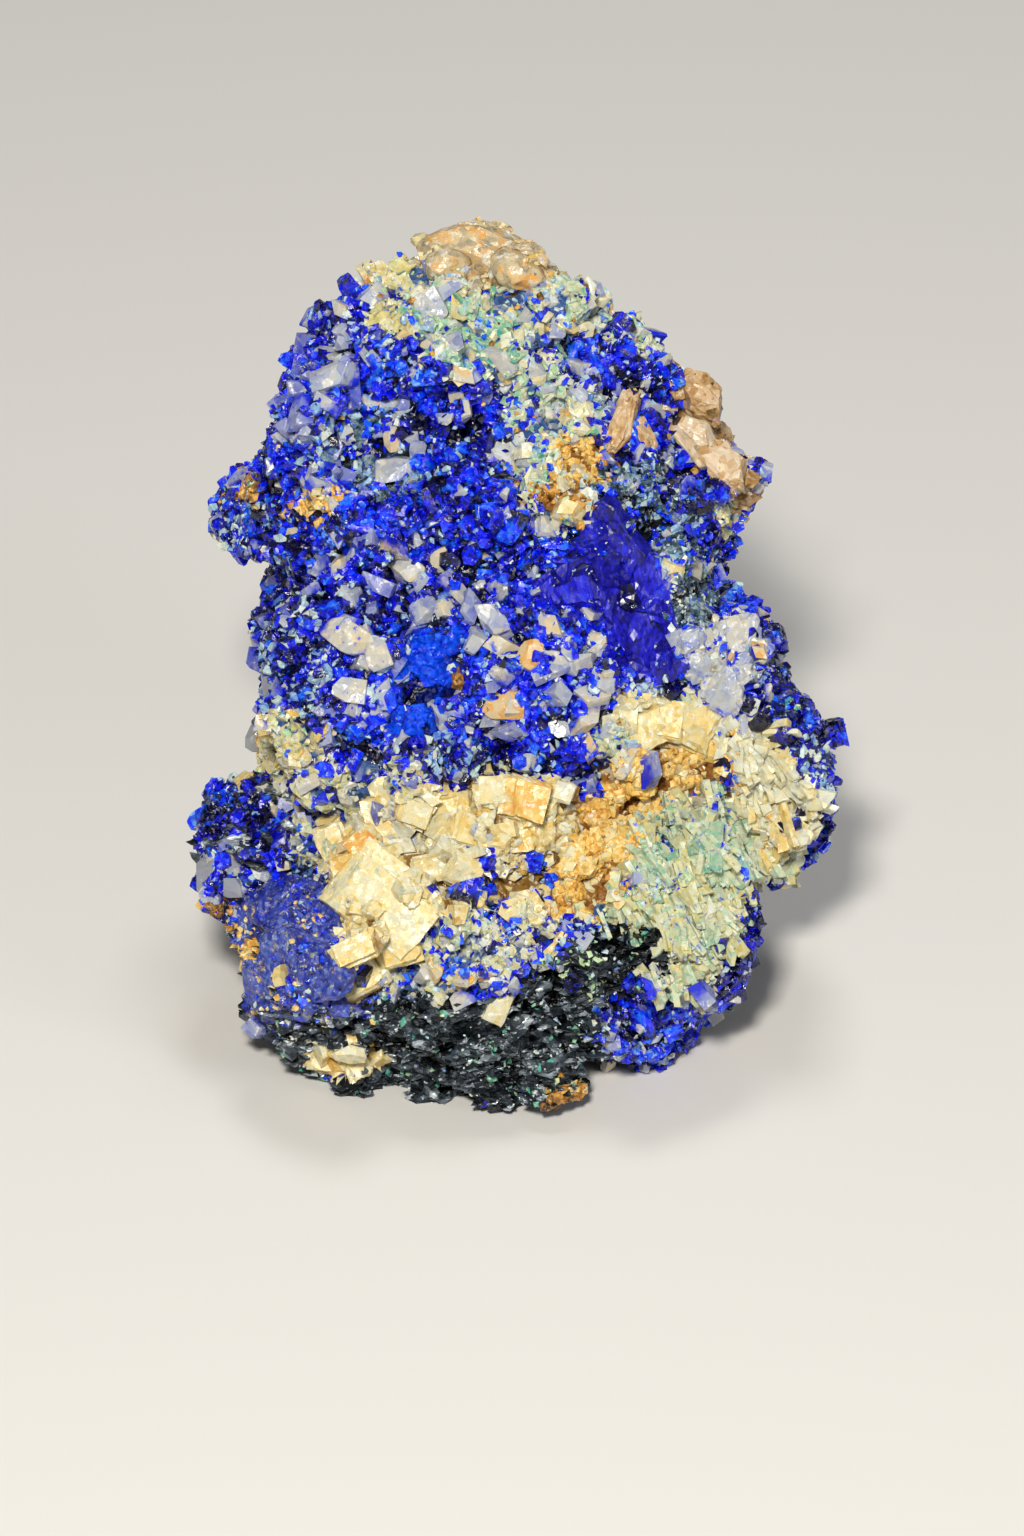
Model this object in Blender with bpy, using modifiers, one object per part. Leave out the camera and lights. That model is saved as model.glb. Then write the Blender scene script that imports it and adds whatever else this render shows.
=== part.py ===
"""Azurite specimen: one lump of ore, vein quartz and azurite that stands on its own broken foot.

The lump grew together as one piece, so it is one solid. It is built in five steps:
1. chipped masses are laid out, and one skin is drawn over them;
2. the skin is broken into flat faces, first wide ones and then small ones;
3. cleaved blocks, blades, quartz grains, azurite crystals and ore sheets are joined on where they grow;
4. the foot is cut off flat;
5. the mesh is moved so that its middle stands over the origin.

Metres, +Z up. The side that is shown faces -Y and leans back. The origin is on the resting face.
The masses and growths are placed in millimetres, before the last move.
"""

import math
import random

import bmesh
import bpy
import numpy as np
from mathutils import Euler, Matrix, Vector, noise
from mathutils.kdtree import KDTree

MM = 0.001

# Driving dimensions, in millimetres.
SKIN_CELL = 0.9
FLOOR_SIZE = 200.0

# The broken faces, wide ones first: width, lean, highest step and depth below the skin.
BREAKS = (
    (10.0, 0.18, 1.2, 0.35),
    (5.0, 0.26, 0.7, 0.15),
)

# A mass is a ball pushed towards a block, with this many flat chips, each cut this far out from its middle.
SQUARENESS = 0.72
CHIPS = 7
CHIP_REACH = (0.80, 0.94)

# Smoothing passes, triangles of the stone before anything is joined to it,
# and how deep a growth sinks in and how far growths of a kind stay apart, as shares of their size.
SOFTENING = 8
STONE_FACES = 4100
SINK = 0.12
CLEAR = 0.75
SEED = 20

# Three far places in the noise, one for each direction of a push.
NOISE_STEPS = (Vector((0, 0, 0)), Vector((40, 7, 19)), Vector((11, 60, 33)))

# Each mass: centre x, y, z; half size x, y, z; turn about x, y, z in degrees.
MASSES = {
    "ore foot": ((-3.5, -0.5, 5.5), (20.0, 27.5, 8.4), (0, 0, 0)),
    "ore ledge": ((-1.5, -24.8, 6.4), (15.5, 6.6, 6.0), (8, 3, -3)),
    "left toe": ((-17.0, -24.4, 5.0), (6.5, 6.8, 4.8), (0, 8, 18)),
    "left azurite block": ((-21.2, -18.0, 12.4), (8.4, 13.5, 9.4), (0, 4, 12)),
    "left quartz ledge": ((-29.0, -12.0, 17.2), (4.6, 5.6, 2.8), (0, 8, 16)),
    "left blue horn": ((-27.2, -7.5, 20.8), (6.0, 8.0, 4.2), (0, -4, 10)),
    "cream mass": ((-6.5, -16.0, 15.0), (16.0, 12.7, 9.4), (36, 0, 0)),
    "cream shelf": ((0.5, -9.0, 25.0), (15.0, 14.0, 7.3), (40, 4, 0)),
    "ochre and green mass": ((12.0, -13.0, 16.5), (12.6, 15.2, 10.6), (26, -6, 12)),
    "right blue bump": ((12.4, -20.0, 9.4), (6.8, 7.8, 5.0), (0, 4, 16)),
    "right lobe": ((23.2, 0.0, 26.0), (10.8, 13.2, 11.6), (8, 12, 6)),
    "right shoulder": ((19.0, 4.0, 34.0), (10.4, 13.0, 9.6), (0, 22, 4)),
    "front slope": ((-3.0, 4.0, 35.0), (22.6, 26.0, 13.2), (50, 0, 0)),
    "purple plate": ((13.0, 3.5, 42.0), (8.2, 10.3, 8.3), (44, 10, -14)),
    "left flank": ((-20.4, 7.0, 32.0), (8.4, 18.5, 15.4), (16, 0, 6)),
    "upper mass": ((-1.5, 15.5, 50.0), (22.6, 15.8, 15.2), (38, 0, 0)),
    "left cheek": ((-20.2, 13.4, 53.0), (7.8, 11.0, 10.6), (30, 14, 10)),
    "left knob": ((-28.0, 18.5, 47.2), (4.0, 5.2, 4.6), (0, 10, 0)),
    "right tip": ((20.2, 13.0, 52.4), (5.2, 9.0, 7.6), (14, 18, -8)),
    "right brow": ((11.2, 14.8, 58.0), (11.0, 12.0, 7.6), (36, 33, 0)),
    "crown": ((-3.4, 18.8, 66.6), (13.6, 9.5, 8.0), (36, 2, 0)),
    "crown left step": ((-14.2, 17.6, 66.6), (8.0, 7.6, 6.6), (30, -22, 0)),
    "cap": ((-3.8, 22.6, 71.6), (8.0, 6.6, 4.0), (14, 8, 0)),
    "back wall": ((-1.0, 20.0, 27.0), (21.2, 13.2, 27.0), (-4, 0, 0)),
    "right toe": ((13.6, -18.8, 4.8), (7.0, 7.4, 5.0), (0, 4, -8)),
    "left brow": ((-18.6, 14.4, 61.4), (7.0, 8.4, 7.2), (30, 14, 6)),
}

# What grows on the stone: kind, middle of the patch x, y, z, its reach, how many, and their size from and to.
GROWTHS = (
    ("block", (-10.0, -27.0, 15.0), 9.0, 9, 4.0, 7.0),
    ("block", (-2.0, -20.0, 23.0), 9.5, 7, 3.4, 6.0),
    ("block", (18.0, -13.0, 29.0), 8.0, 7, 3.6, 6.4),
    ("block", (-4.0, 16.0, 72.0), 9.0, 6, 3.6, 6.4),
    ("block", (-28.0, -13.0, 18.0), 6.0, 3, 3.0, 4.6),
    ("block", (4.0, -8.0, 37.0), 10.0, 6, 3.0, 5.0),
    ("blade", (23.0, -13.0, 22.0), 7.0, 9, 4.6, 7.4),
    ("blade", (13.0, -24.0, 15.0), 8.0, 6, 3.6, 5.6),
    ("pebble", (-14.0, 6.0, 52.0), 15.0, 10, 2.8, 4.6),
    ("pebble", (-12.0, -2.0, 36.0), 15.0, 9, 2.8, 4.4),
    ("pebble", (6.0, 30.0, 30.0), 34.0, 10, 3.4, 5.6),
    ("crystal", (-6.0, 8.0, 54.0), 17.0, 13, 2.8, 5.0),
    ("crystal", (14.0, 4.0, 46.0), 13.0, 6, 3.2, 5.2),
    ("crystal", (28.0, 2.0, 32.0), 10.0, 6, 3.0, 5.0),
    ("crystal", (-25.0, -12.0, 20.0), 9.0, 5, 2.8, 4.4),
    ("crystal", (-4.0, 28.0, 34.0), 36.0, 12, 3.4, 6.0),
    ("sheet", (-2.0, -27.0, 8.0), 11.0, 9, 6.0, 8.6),
    ("sheet", (8.0, -25.0, 10.0), 7.0, 4, 4.6, 6.8),
)


def clear_scene():
    for obj in list(bpy.data.objects):
        bpy.data.objects.remove(obj)


def turned(angles):
    return Euler([math.radians(a) for a in angles]).to_matrix().to_4x4()


def cut_corner(bm, facing, distance):
    """Cuts off what lies past a plane at this distance from the middle, and closes the cut."""
    facing = facing.normalized()
    cut = bmesh.ops.bisect_plane(
        bm,
        geom=bm.verts[:] + bm.edges[:] + bm.faces[:],
        plane_co=facing * distance,
        plane_no=facing,
        clear_outer=True,
    )
    rim = [item for item in cut["geom_cut"] if isinstance(item, bmesh.types.BMEdge)]
    if rim:
        bmesh.ops.contextual_create(bm, geom=rim)


def add_mass(bm, centre, half, angles, rng):
    """One blocky, chipped mass. Its middle bulges less than a ball's, as a broken stone's does."""
    block = bmesh.new()
    bmesh.ops.create_icosphere(block, subdivisions=3, radius=1)
    for vert in block.verts:
        vert.co = Vector([math.copysign(abs(c) ** SQUARENESS, c) for c in vert.co])
    for _ in range(CHIPS):
        facing = Vector([rng.gauss(0, 1) for _ in range(3)])
        cut_corner(block, facing, rng.uniform(*CHIP_REACH))
    place = Matrix.Translation(Vector(centre) * MM) @ turned(angles)
    place = place @ Matrix.Diagonal((*[h * MM for h in half], 1))
    bmesh.ops.transform(block, matrix=place, verts=block.verts)
    loose = bpy.data.meshes.new("mass")
    block.to_mesh(loose)
    block.free()
    bm.from_mesh(loose)
    bpy.data.meshes.remove(loose)


def applied(obj):
    """The object's mesh with its modifiers applied."""
    graph = bpy.context.evaluated_depsgraph_get()
    mesh = bpy.data.meshes.new_from_object(obj.evaluated_get(graph))
    obj.modifiers.clear()
    old = obj.data
    obj.data = mesh
    bpy.data.meshes.remove(old)


def pick_sites(points, spacing, rng):
    """Points that lie at least this far apart, taken in a seeded order."""
    order = list(range(len(points)))
    rng.shuffle(order)
    free = np.ones(len(points), bool)
    sites = []
    for index in order:
        if free[index]:
            sites.append(index)
            free &= ((points - points[index]) ** 2).sum(axis=1) > spacing**2
    return sites


def break_faces(mesh, spacing, tilt, reach, sink, rng):
    """Breaks the skin into flat faces with steps between them, each about as wide as the spacing.

    Every point moves along its own normal onto the plane of its nearest face, by at most the reach.
    The planes lie a little under the skin, because flat faces on a bulging skin stand out from it.
    """
    bm = bmesh.new()
    bm.from_mesh(mesh)
    bm.normal_update()
    points = np.array([vert.co for vert in bm.verts]) / MM
    normals = np.array([vert.normal for vert in bm.verts])
    sites = pick_sites(points, spacing, rng)
    tree = KDTree(len(sites))
    planes = []
    for number, index in enumerate(sites):
        tree.insert(points[index], number)
        lean = Vector([rng.gauss(0, tilt) for _ in range(3)])
        normal = Vector(normals[index])
        planes.append((Vector(points[index]) - normal * sink, (normal + lean).normalized()))
    tree.balance()
    for vert, point, normal in zip(bm.verts, points, normals):
        spot = Vector(point) * (1.6 / spacing)
        wander = Vector([noise.noise(spot + step) for step in NOISE_STEPS]) * (0.3 * spacing)
        origin, facing = planes[tree.find(Vector(point) + wander)[1]]
        slope = max(0.35, facing.dot(Vector(normal)))
        shift = (origin - Vector(point)).dot(facing) / slope
        vert.co += vert.normal * max(-reach, min(reach, shift)) * MM
    bm.to_mesh(mesh)
    bm.free()


def make_stone(collection):
    rng = random.Random(SEED)
    bm = bmesh.new()
    for centre, half, angles in MASSES.values():
        add_mass(bm, centre, half, angles, rng)
    mesh = bpy.data.meshes.new("azurite_specimen")
    bm.to_mesh(mesh)
    bm.free()
    stone = bpy.data.objects.new("azurite_specimen", mesh)
    collection.objects.link(stone)
    skin = stone.modifiers.new("one skin", "REMESH")
    skin.mode = "VOXEL"
    skin.voxel_size = SKIN_CELL * MM
    soften = stone.modifiers.new("soften", "SMOOTH")
    soften.iterations = SOFTENING
    applied(stone)
    for width, lean, reach, sink in BREAKS:
        break_faces(stone.data, width, lean, reach, sink, rng)
    coarser = stone.modifiers.new("coarser", "DECIMATE")
    coarser.ratio = min(1.0, STONE_FACES / (2 * len(stone.data.polygons)))
    applied(stone)
    return stone


def block_shape(bm, rng):
    """A cleaved block: a leaning box, longer one way, with one corner broken off."""
    bmesh.ops.create_cube(bm, size=1)
    lean = Matrix.Shear("XY", 4, (rng.uniform(-0.35, 0.35), rng.uniform(-0.35, 0.35)))
    wide = Matrix.Diagonal((rng.uniform(0.8, 1.2), rng.uniform(0.6, 1.0), rng.uniform(0.45, 0.7), 1))
    bmesh.ops.transform(bm, matrix=wide @ lean, verts=bm.verts)
    cut_corner(bm, Vector((rng.choice((-1, 1)), rng.choice((-1, 1)), 1)), 0.34)


def blade_shape(bm, rng):
    """A thin blade with a slanting end."""
    bmesh.ops.create_cube(bm, size=1)
    wide = Matrix.Diagonal((rng.uniform(0.4, 0.7), rng.uniform(0.18, 0.3), 1.2, 1))
    bmesh.ops.transform(bm, matrix=wide, verts=bm.verts)
    cut_corner(bm, Vector((rng.choice((-1, 1)) * 1.4, 0, 1)), 0.42)


def pebble_shape(bm, rng):
    """A quartz grain: a ball of twenty flat faces pulled out of round."""
    bmesh.ops.create_icosphere(bm, subdivisions=1, radius=0.55)
    for vert in bm.verts:
        vert.co *= rng.uniform(0.8, 1.15)
    wide = Matrix.Diagonal((rng.uniform(0.8, 1.1), rng.uniform(0.6, 0.9), rng.uniform(0.5, 0.8), 1))
    bmesh.ops.transform(bm, matrix=wide, verts=bm.verts)


def crystal_shape(bm, rng):
    """An azurite crystal: a flattened six-sided prism with a slanting end."""
    bmesh.ops.create_cone(bm, cap_ends=True, segments=6, radius1=0.5, radius2=0.36, depth=1.2)
    wide = Matrix.Diagonal((rng.uniform(0.8, 1.0), rng.uniform(0.4, 0.7), 1, 1))
    bmesh.ops.transform(bm, matrix=wide, verts=bm.verts)
    cut_corner(bm, Vector((rng.uniform(-0.8, 0.8), rng.uniform(-0.8, 0.8), 1)), 0.4)


def sheet_shape(bm, rng):
    """A thin broken sheet of ore that lies level and ends in a ragged edge."""
    bmesh.ops.create_cone(bm, cap_ends=True, segments=7, radius1=0.5, radius2=0.44, depth=0.16)
    for vert in bm.verts:
        vert.co.xy *= rng.uniform(0.75, 1.15)


# The shape of each kind, and how far it leans from the way the skin faces.
SHAPES = {
    "block": (block_shape, 0.35),
    "blade": (blade_shape, 0.45),
    "pebble": (pebble_shape, 0.6),
    "crystal": (crystal_shape, 0.5),
    "sheet": (sheet_shape, 0),
}


def stance(kind, normal, rng):
    """How a growth stands on the skin: a sheet lies nearly level, and the rest lean off the skin's facing."""
    if kind == "sheet":
        return Euler((rng.uniform(-0.2, 0.2), rng.uniform(-0.15, 0.15), rng.uniform(0, 6))).to_matrix()
    lean = SHAPES[kind][1]
    facing = (normal + Vector([rng.gauss(0, lean) for _ in range(3)])).normalized()
    turn = Matrix.Rotation(rng.uniform(0, math.tau), 3, facing)
    return turn @ facing.to_track_quat("Z", "Y").to_matrix()


def place_growth(kind, point, normal, size, rng):
    """One growth of this size in mm, standing at its point and sunk a little into the skin."""
    bm = bmesh.new()
    SHAPES[kind][0](bm, rng)
    foot = point - normal * SINK * size * MM
    place = Matrix.Translation(foot) @ stance(kind, normal, rng).to_4x4() @ Matrix.Scale(size * MM, 4)
    bmesh.ops.transform(bm, matrix=place, verts=bm.verts)
    bmesh.ops.recalc_face_normals(bm, faces=bm.faces)
    mesh = bpy.data.meshes.new(kind)
    bm.to_mesh(mesh)
    bm.free()
    return bpy.data.objects.new(kind, mesh)


def make_growths(stone, rng):
    """Every block, blade, pebble, crystal and sheet, each at its own point of the skin."""
    points = [(vert.co.copy(), vert.normal.copy()) for vert in stone.data.vertices]
    made = []
    for kind, middle, reach, count, smallest, largest in GROWTHS:
        near = [spot for spot in points if (spot[0] - Vector(middle) * MM).length < reach * MM]
        rng.shuffle(near)
        taken = []
        for point, normal in near:
            size = rng.uniform(smallest, largest)
            if len(taken) < count and all((point - other).length > CLEAR * size * MM for other in taken):
                taken.append(point)
                made.append(place_growth(kind, point, normal, size, rng))
    return made


def make_floor():
    """The block that cuts the foot off flat, at the height of the surface it rests on."""
    bm = bmesh.new()
    bmesh.ops.create_cube(bm, size=FLOOR_SIZE * MM)
    bmesh.ops.translate(bm, verts=bm.verts, vec=(0, 0, -FLOOR_SIZE / 2 * MM))
    mesh = bpy.data.meshes.new("resting plane")
    bm.to_mesh(mesh)
    bm.free()
    return bpy.data.objects.new("resting plane", mesh)


def combine(stone, other, operation, collection):
    """Joins the other solid to the stone or cuts it away.

    The exact solver leaves open edges where many small solids meet, so the manifold one is used.
    """
    collection.objects.link(other)
    other.hide_render = True
    other.display_type = "WIRE"
    change = stone.modifiers.new(other.name, "BOOLEAN")
    change.solver = "MANIFOLD"
    change.operation = operation
    change.object = other
    applied(stone)


def island(face):
    """All the faces that are reached from this one across shared edges."""
    found = {face}
    waiting = [face]
    while waiting:
        for edge in waiting.pop().edges:
            fresh = set(edge.link_faces) - found
            found |= fresh
            waiting.extend(fresh)
    return found


def fill_cavities(mesh):
    """Keeps only the outer surface, so that the pockets shut in behind growths become solid rock."""
    bm = bmesh.new()
    bm.from_mesh(mesh)
    outer = island(max(bm.faces, key=lambda face: face.calc_center_median().z))
    inner = [face for face in bm.faces if face not in outer]
    bmesh.ops.delete(bm, geom=inner, context="FACES")
    bm.to_mesh(mesh)
    bm.free()


def settle(stone):
    """Moves the mesh so that the middle of its box stands over the origin, with its foot at z = 0."""
    points = np.array([vert.co for vert in stone.data.vertices])
    low, high = points.min(axis=0), points.max(axis=0)
    stone.data.transform(Matrix.Translation((*(-(low + high) / 2)[:2], -low[2])))


def rock_material():
    material = bpy.data.materials.new("azurite and quartz rock")
    material.use_nodes = True
    shader = material.node_tree.nodes["Principled BSDF"]
    shader.inputs["Base Color"].default_value = (0.05, 0.08, 0.36, 1)
    shader.inputs["Roughness"].default_value = 0.5
    return material


def main():
    clear_scene()
    collection = bpy.data.collections.new("Azurite specimen")
    cutters = bpy.data.collections.new("Joined and cut")
    for made in (collection, cutters):
        bpy.context.scene.collection.children.link(made)
    stone = make_stone(collection)
    for growth in make_growths(stone, random.Random(SEED + 1)):
        combine(stone, growth, "UNION", cutters)
    combine(stone, make_floor(), "DIFFERENCE", cutters)
    fill_cavities(stone.data)
    settle(stone)
    stone.data.shade_flat()
    stone.data.materials.append(rock_material())


main()
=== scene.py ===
"""Azurite specimen: the looks.

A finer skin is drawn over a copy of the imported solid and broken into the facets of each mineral.
Grains, crystals, blocks, blades and flakes are then set into that skin as joined meshes.
Where each mineral lies is a table of patches, outlined on the photo and cast onto the skin
from the photo's own camera. What the photo doesn't show follows the height and slow noise.

Metres, +Z up, the shown side faces -Y. Pixels are those of the photo, 1024 wide and 1536 high.
"""

import math

import bmesh
import bpy
import numpy as np
from mathutils import Matrix, Vector, noise
from mathutils.bvhtree import BVHTree
from mathutils.kdtree import KDTree

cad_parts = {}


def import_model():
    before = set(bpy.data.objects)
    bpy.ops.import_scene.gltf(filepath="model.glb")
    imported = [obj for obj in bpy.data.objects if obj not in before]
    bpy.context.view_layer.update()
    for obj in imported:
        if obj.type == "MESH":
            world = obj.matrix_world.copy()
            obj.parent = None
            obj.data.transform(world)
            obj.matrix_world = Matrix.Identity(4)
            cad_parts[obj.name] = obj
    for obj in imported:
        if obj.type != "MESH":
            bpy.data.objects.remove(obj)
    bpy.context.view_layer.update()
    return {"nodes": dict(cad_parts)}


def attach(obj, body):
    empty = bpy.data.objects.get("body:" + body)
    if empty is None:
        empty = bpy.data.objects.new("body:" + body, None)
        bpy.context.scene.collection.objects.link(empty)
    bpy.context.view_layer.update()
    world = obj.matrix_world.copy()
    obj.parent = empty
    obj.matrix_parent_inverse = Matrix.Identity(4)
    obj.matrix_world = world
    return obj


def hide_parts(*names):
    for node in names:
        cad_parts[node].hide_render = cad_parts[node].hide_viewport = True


MM = 0.001
NODE = "azurite_specimen"
SEED = 7

# The photo's camera: a long lens that looks down at the specimen by 30 degrees.
PHOTO_WIDTH = 1024
PHOTO_HEIGHT = 1536
FOCAL_PIXELS = 9000
SENSOR_MM = 36
RISE = math.radians(30)
CAMERA_RANGE = 990 * MM
SIGHT = Vector((-0.67, -0.52, 24.13)) * MM

TOWARDS_CAMERA = Vector((0, -math.cos(RISE), math.sin(RISE)))
RIGHT = Vector((1, 0, 0))
UP = TOWARDS_CAMERA.cross(RIGHT)
CAMERA = SIGHT + TOWARDS_CAMERA * CAMERA_RANGE

# The skin: the width of its cells, how many faces it keeps, and how far it lies inside the solid.
# Then the facets broken into it, as width, lean and highest step in mm, and how far past that step
# a point may fall or rise. Ground that faces away from the camera by more than the limit is hidden.
SKIN_CELL = 0.40 * MM
SKIN_FACES = 190000
SKIN_DRAWN_IN = 0.20 * MM
FACETS = ((4.2, 0.30, 0.70), (2.0, 0.46, 0.55), (0.95, 0.60, 0.30))
FALL = 1.3
CLIMB = 0.75
STEEPEST = 0.35
FRONT_LIMIT = -0.12

# Where the skin stands out from the solid or falls back: middle on the photo, radius in pixels, and mm.
SWELLS = (
    (256, 574, 44, 2.2),
    (262, 620, 40, 1.0),
    (270, 352, 46, -0.9),
    (226, 440, 40, -0.8),
    (716, 398, 40, 1.6),
    (744, 500, 22, -0.8),
)

# How far the border between two grounds wanders, and how far points and grains mix across it, in pixels.
BORDER_WANDER = 11.0
BORDER_JITTER = 2.5
GRAIN_JITTER = 6.0

# Furrows, in mm: how far apart, and how wide their swirls are. Where the ore is layered and the columns are
# fluted: how deep they are, how far they bend in a swirl, and their slope.
# The worn blue face is pressed flat by this much, and the foot is as high as this.
FURROW_PITCH = 1.3
SWIRL = 5.5
LAYERED = ("ore", "under", "hollow", "black blue")
LAYER_DEPTH = 0.34
LAYER_BEND = 1.6
LAYER_SLOPE = 0.14
FLUTED = ("columns", "white edge")
FLUTE_DEPTH = 0.30
FLUTE_BEND = 0.8
FLUTE_SLOPE = 0.3
FACE_PRESS = 0.8
FOOT_HEIGHT = 0.3

# The hidden ground, by its height in mm, and the level of noise from which a seam, a spot
# or a darker patch starts.
UNDERSIDE_TO = 2.0
ORE_TO = 11
ORE_SWING = 9
CREAM_TO = 34
CAP_FROM = 67
SEAM_FROM = 0.22
SPOT_FROM = 0.30
ROYAL_FROM = 0.24

# The skin's tone swings by this much in clouds this many mm wide. Its high places take this much stain and
# shade,
# and this many mm of depth add one more: in its recesses this is painted shade where the stain colour is
# dark, and a real stain where it is blue.
SKIN_TONE = 0.14
SKIN_CLOUD = 2.2
SKIN_STAIN_AND_SHADE = 0.30
STAINED_AND_SHADED_DEPTH = 0.7

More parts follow.
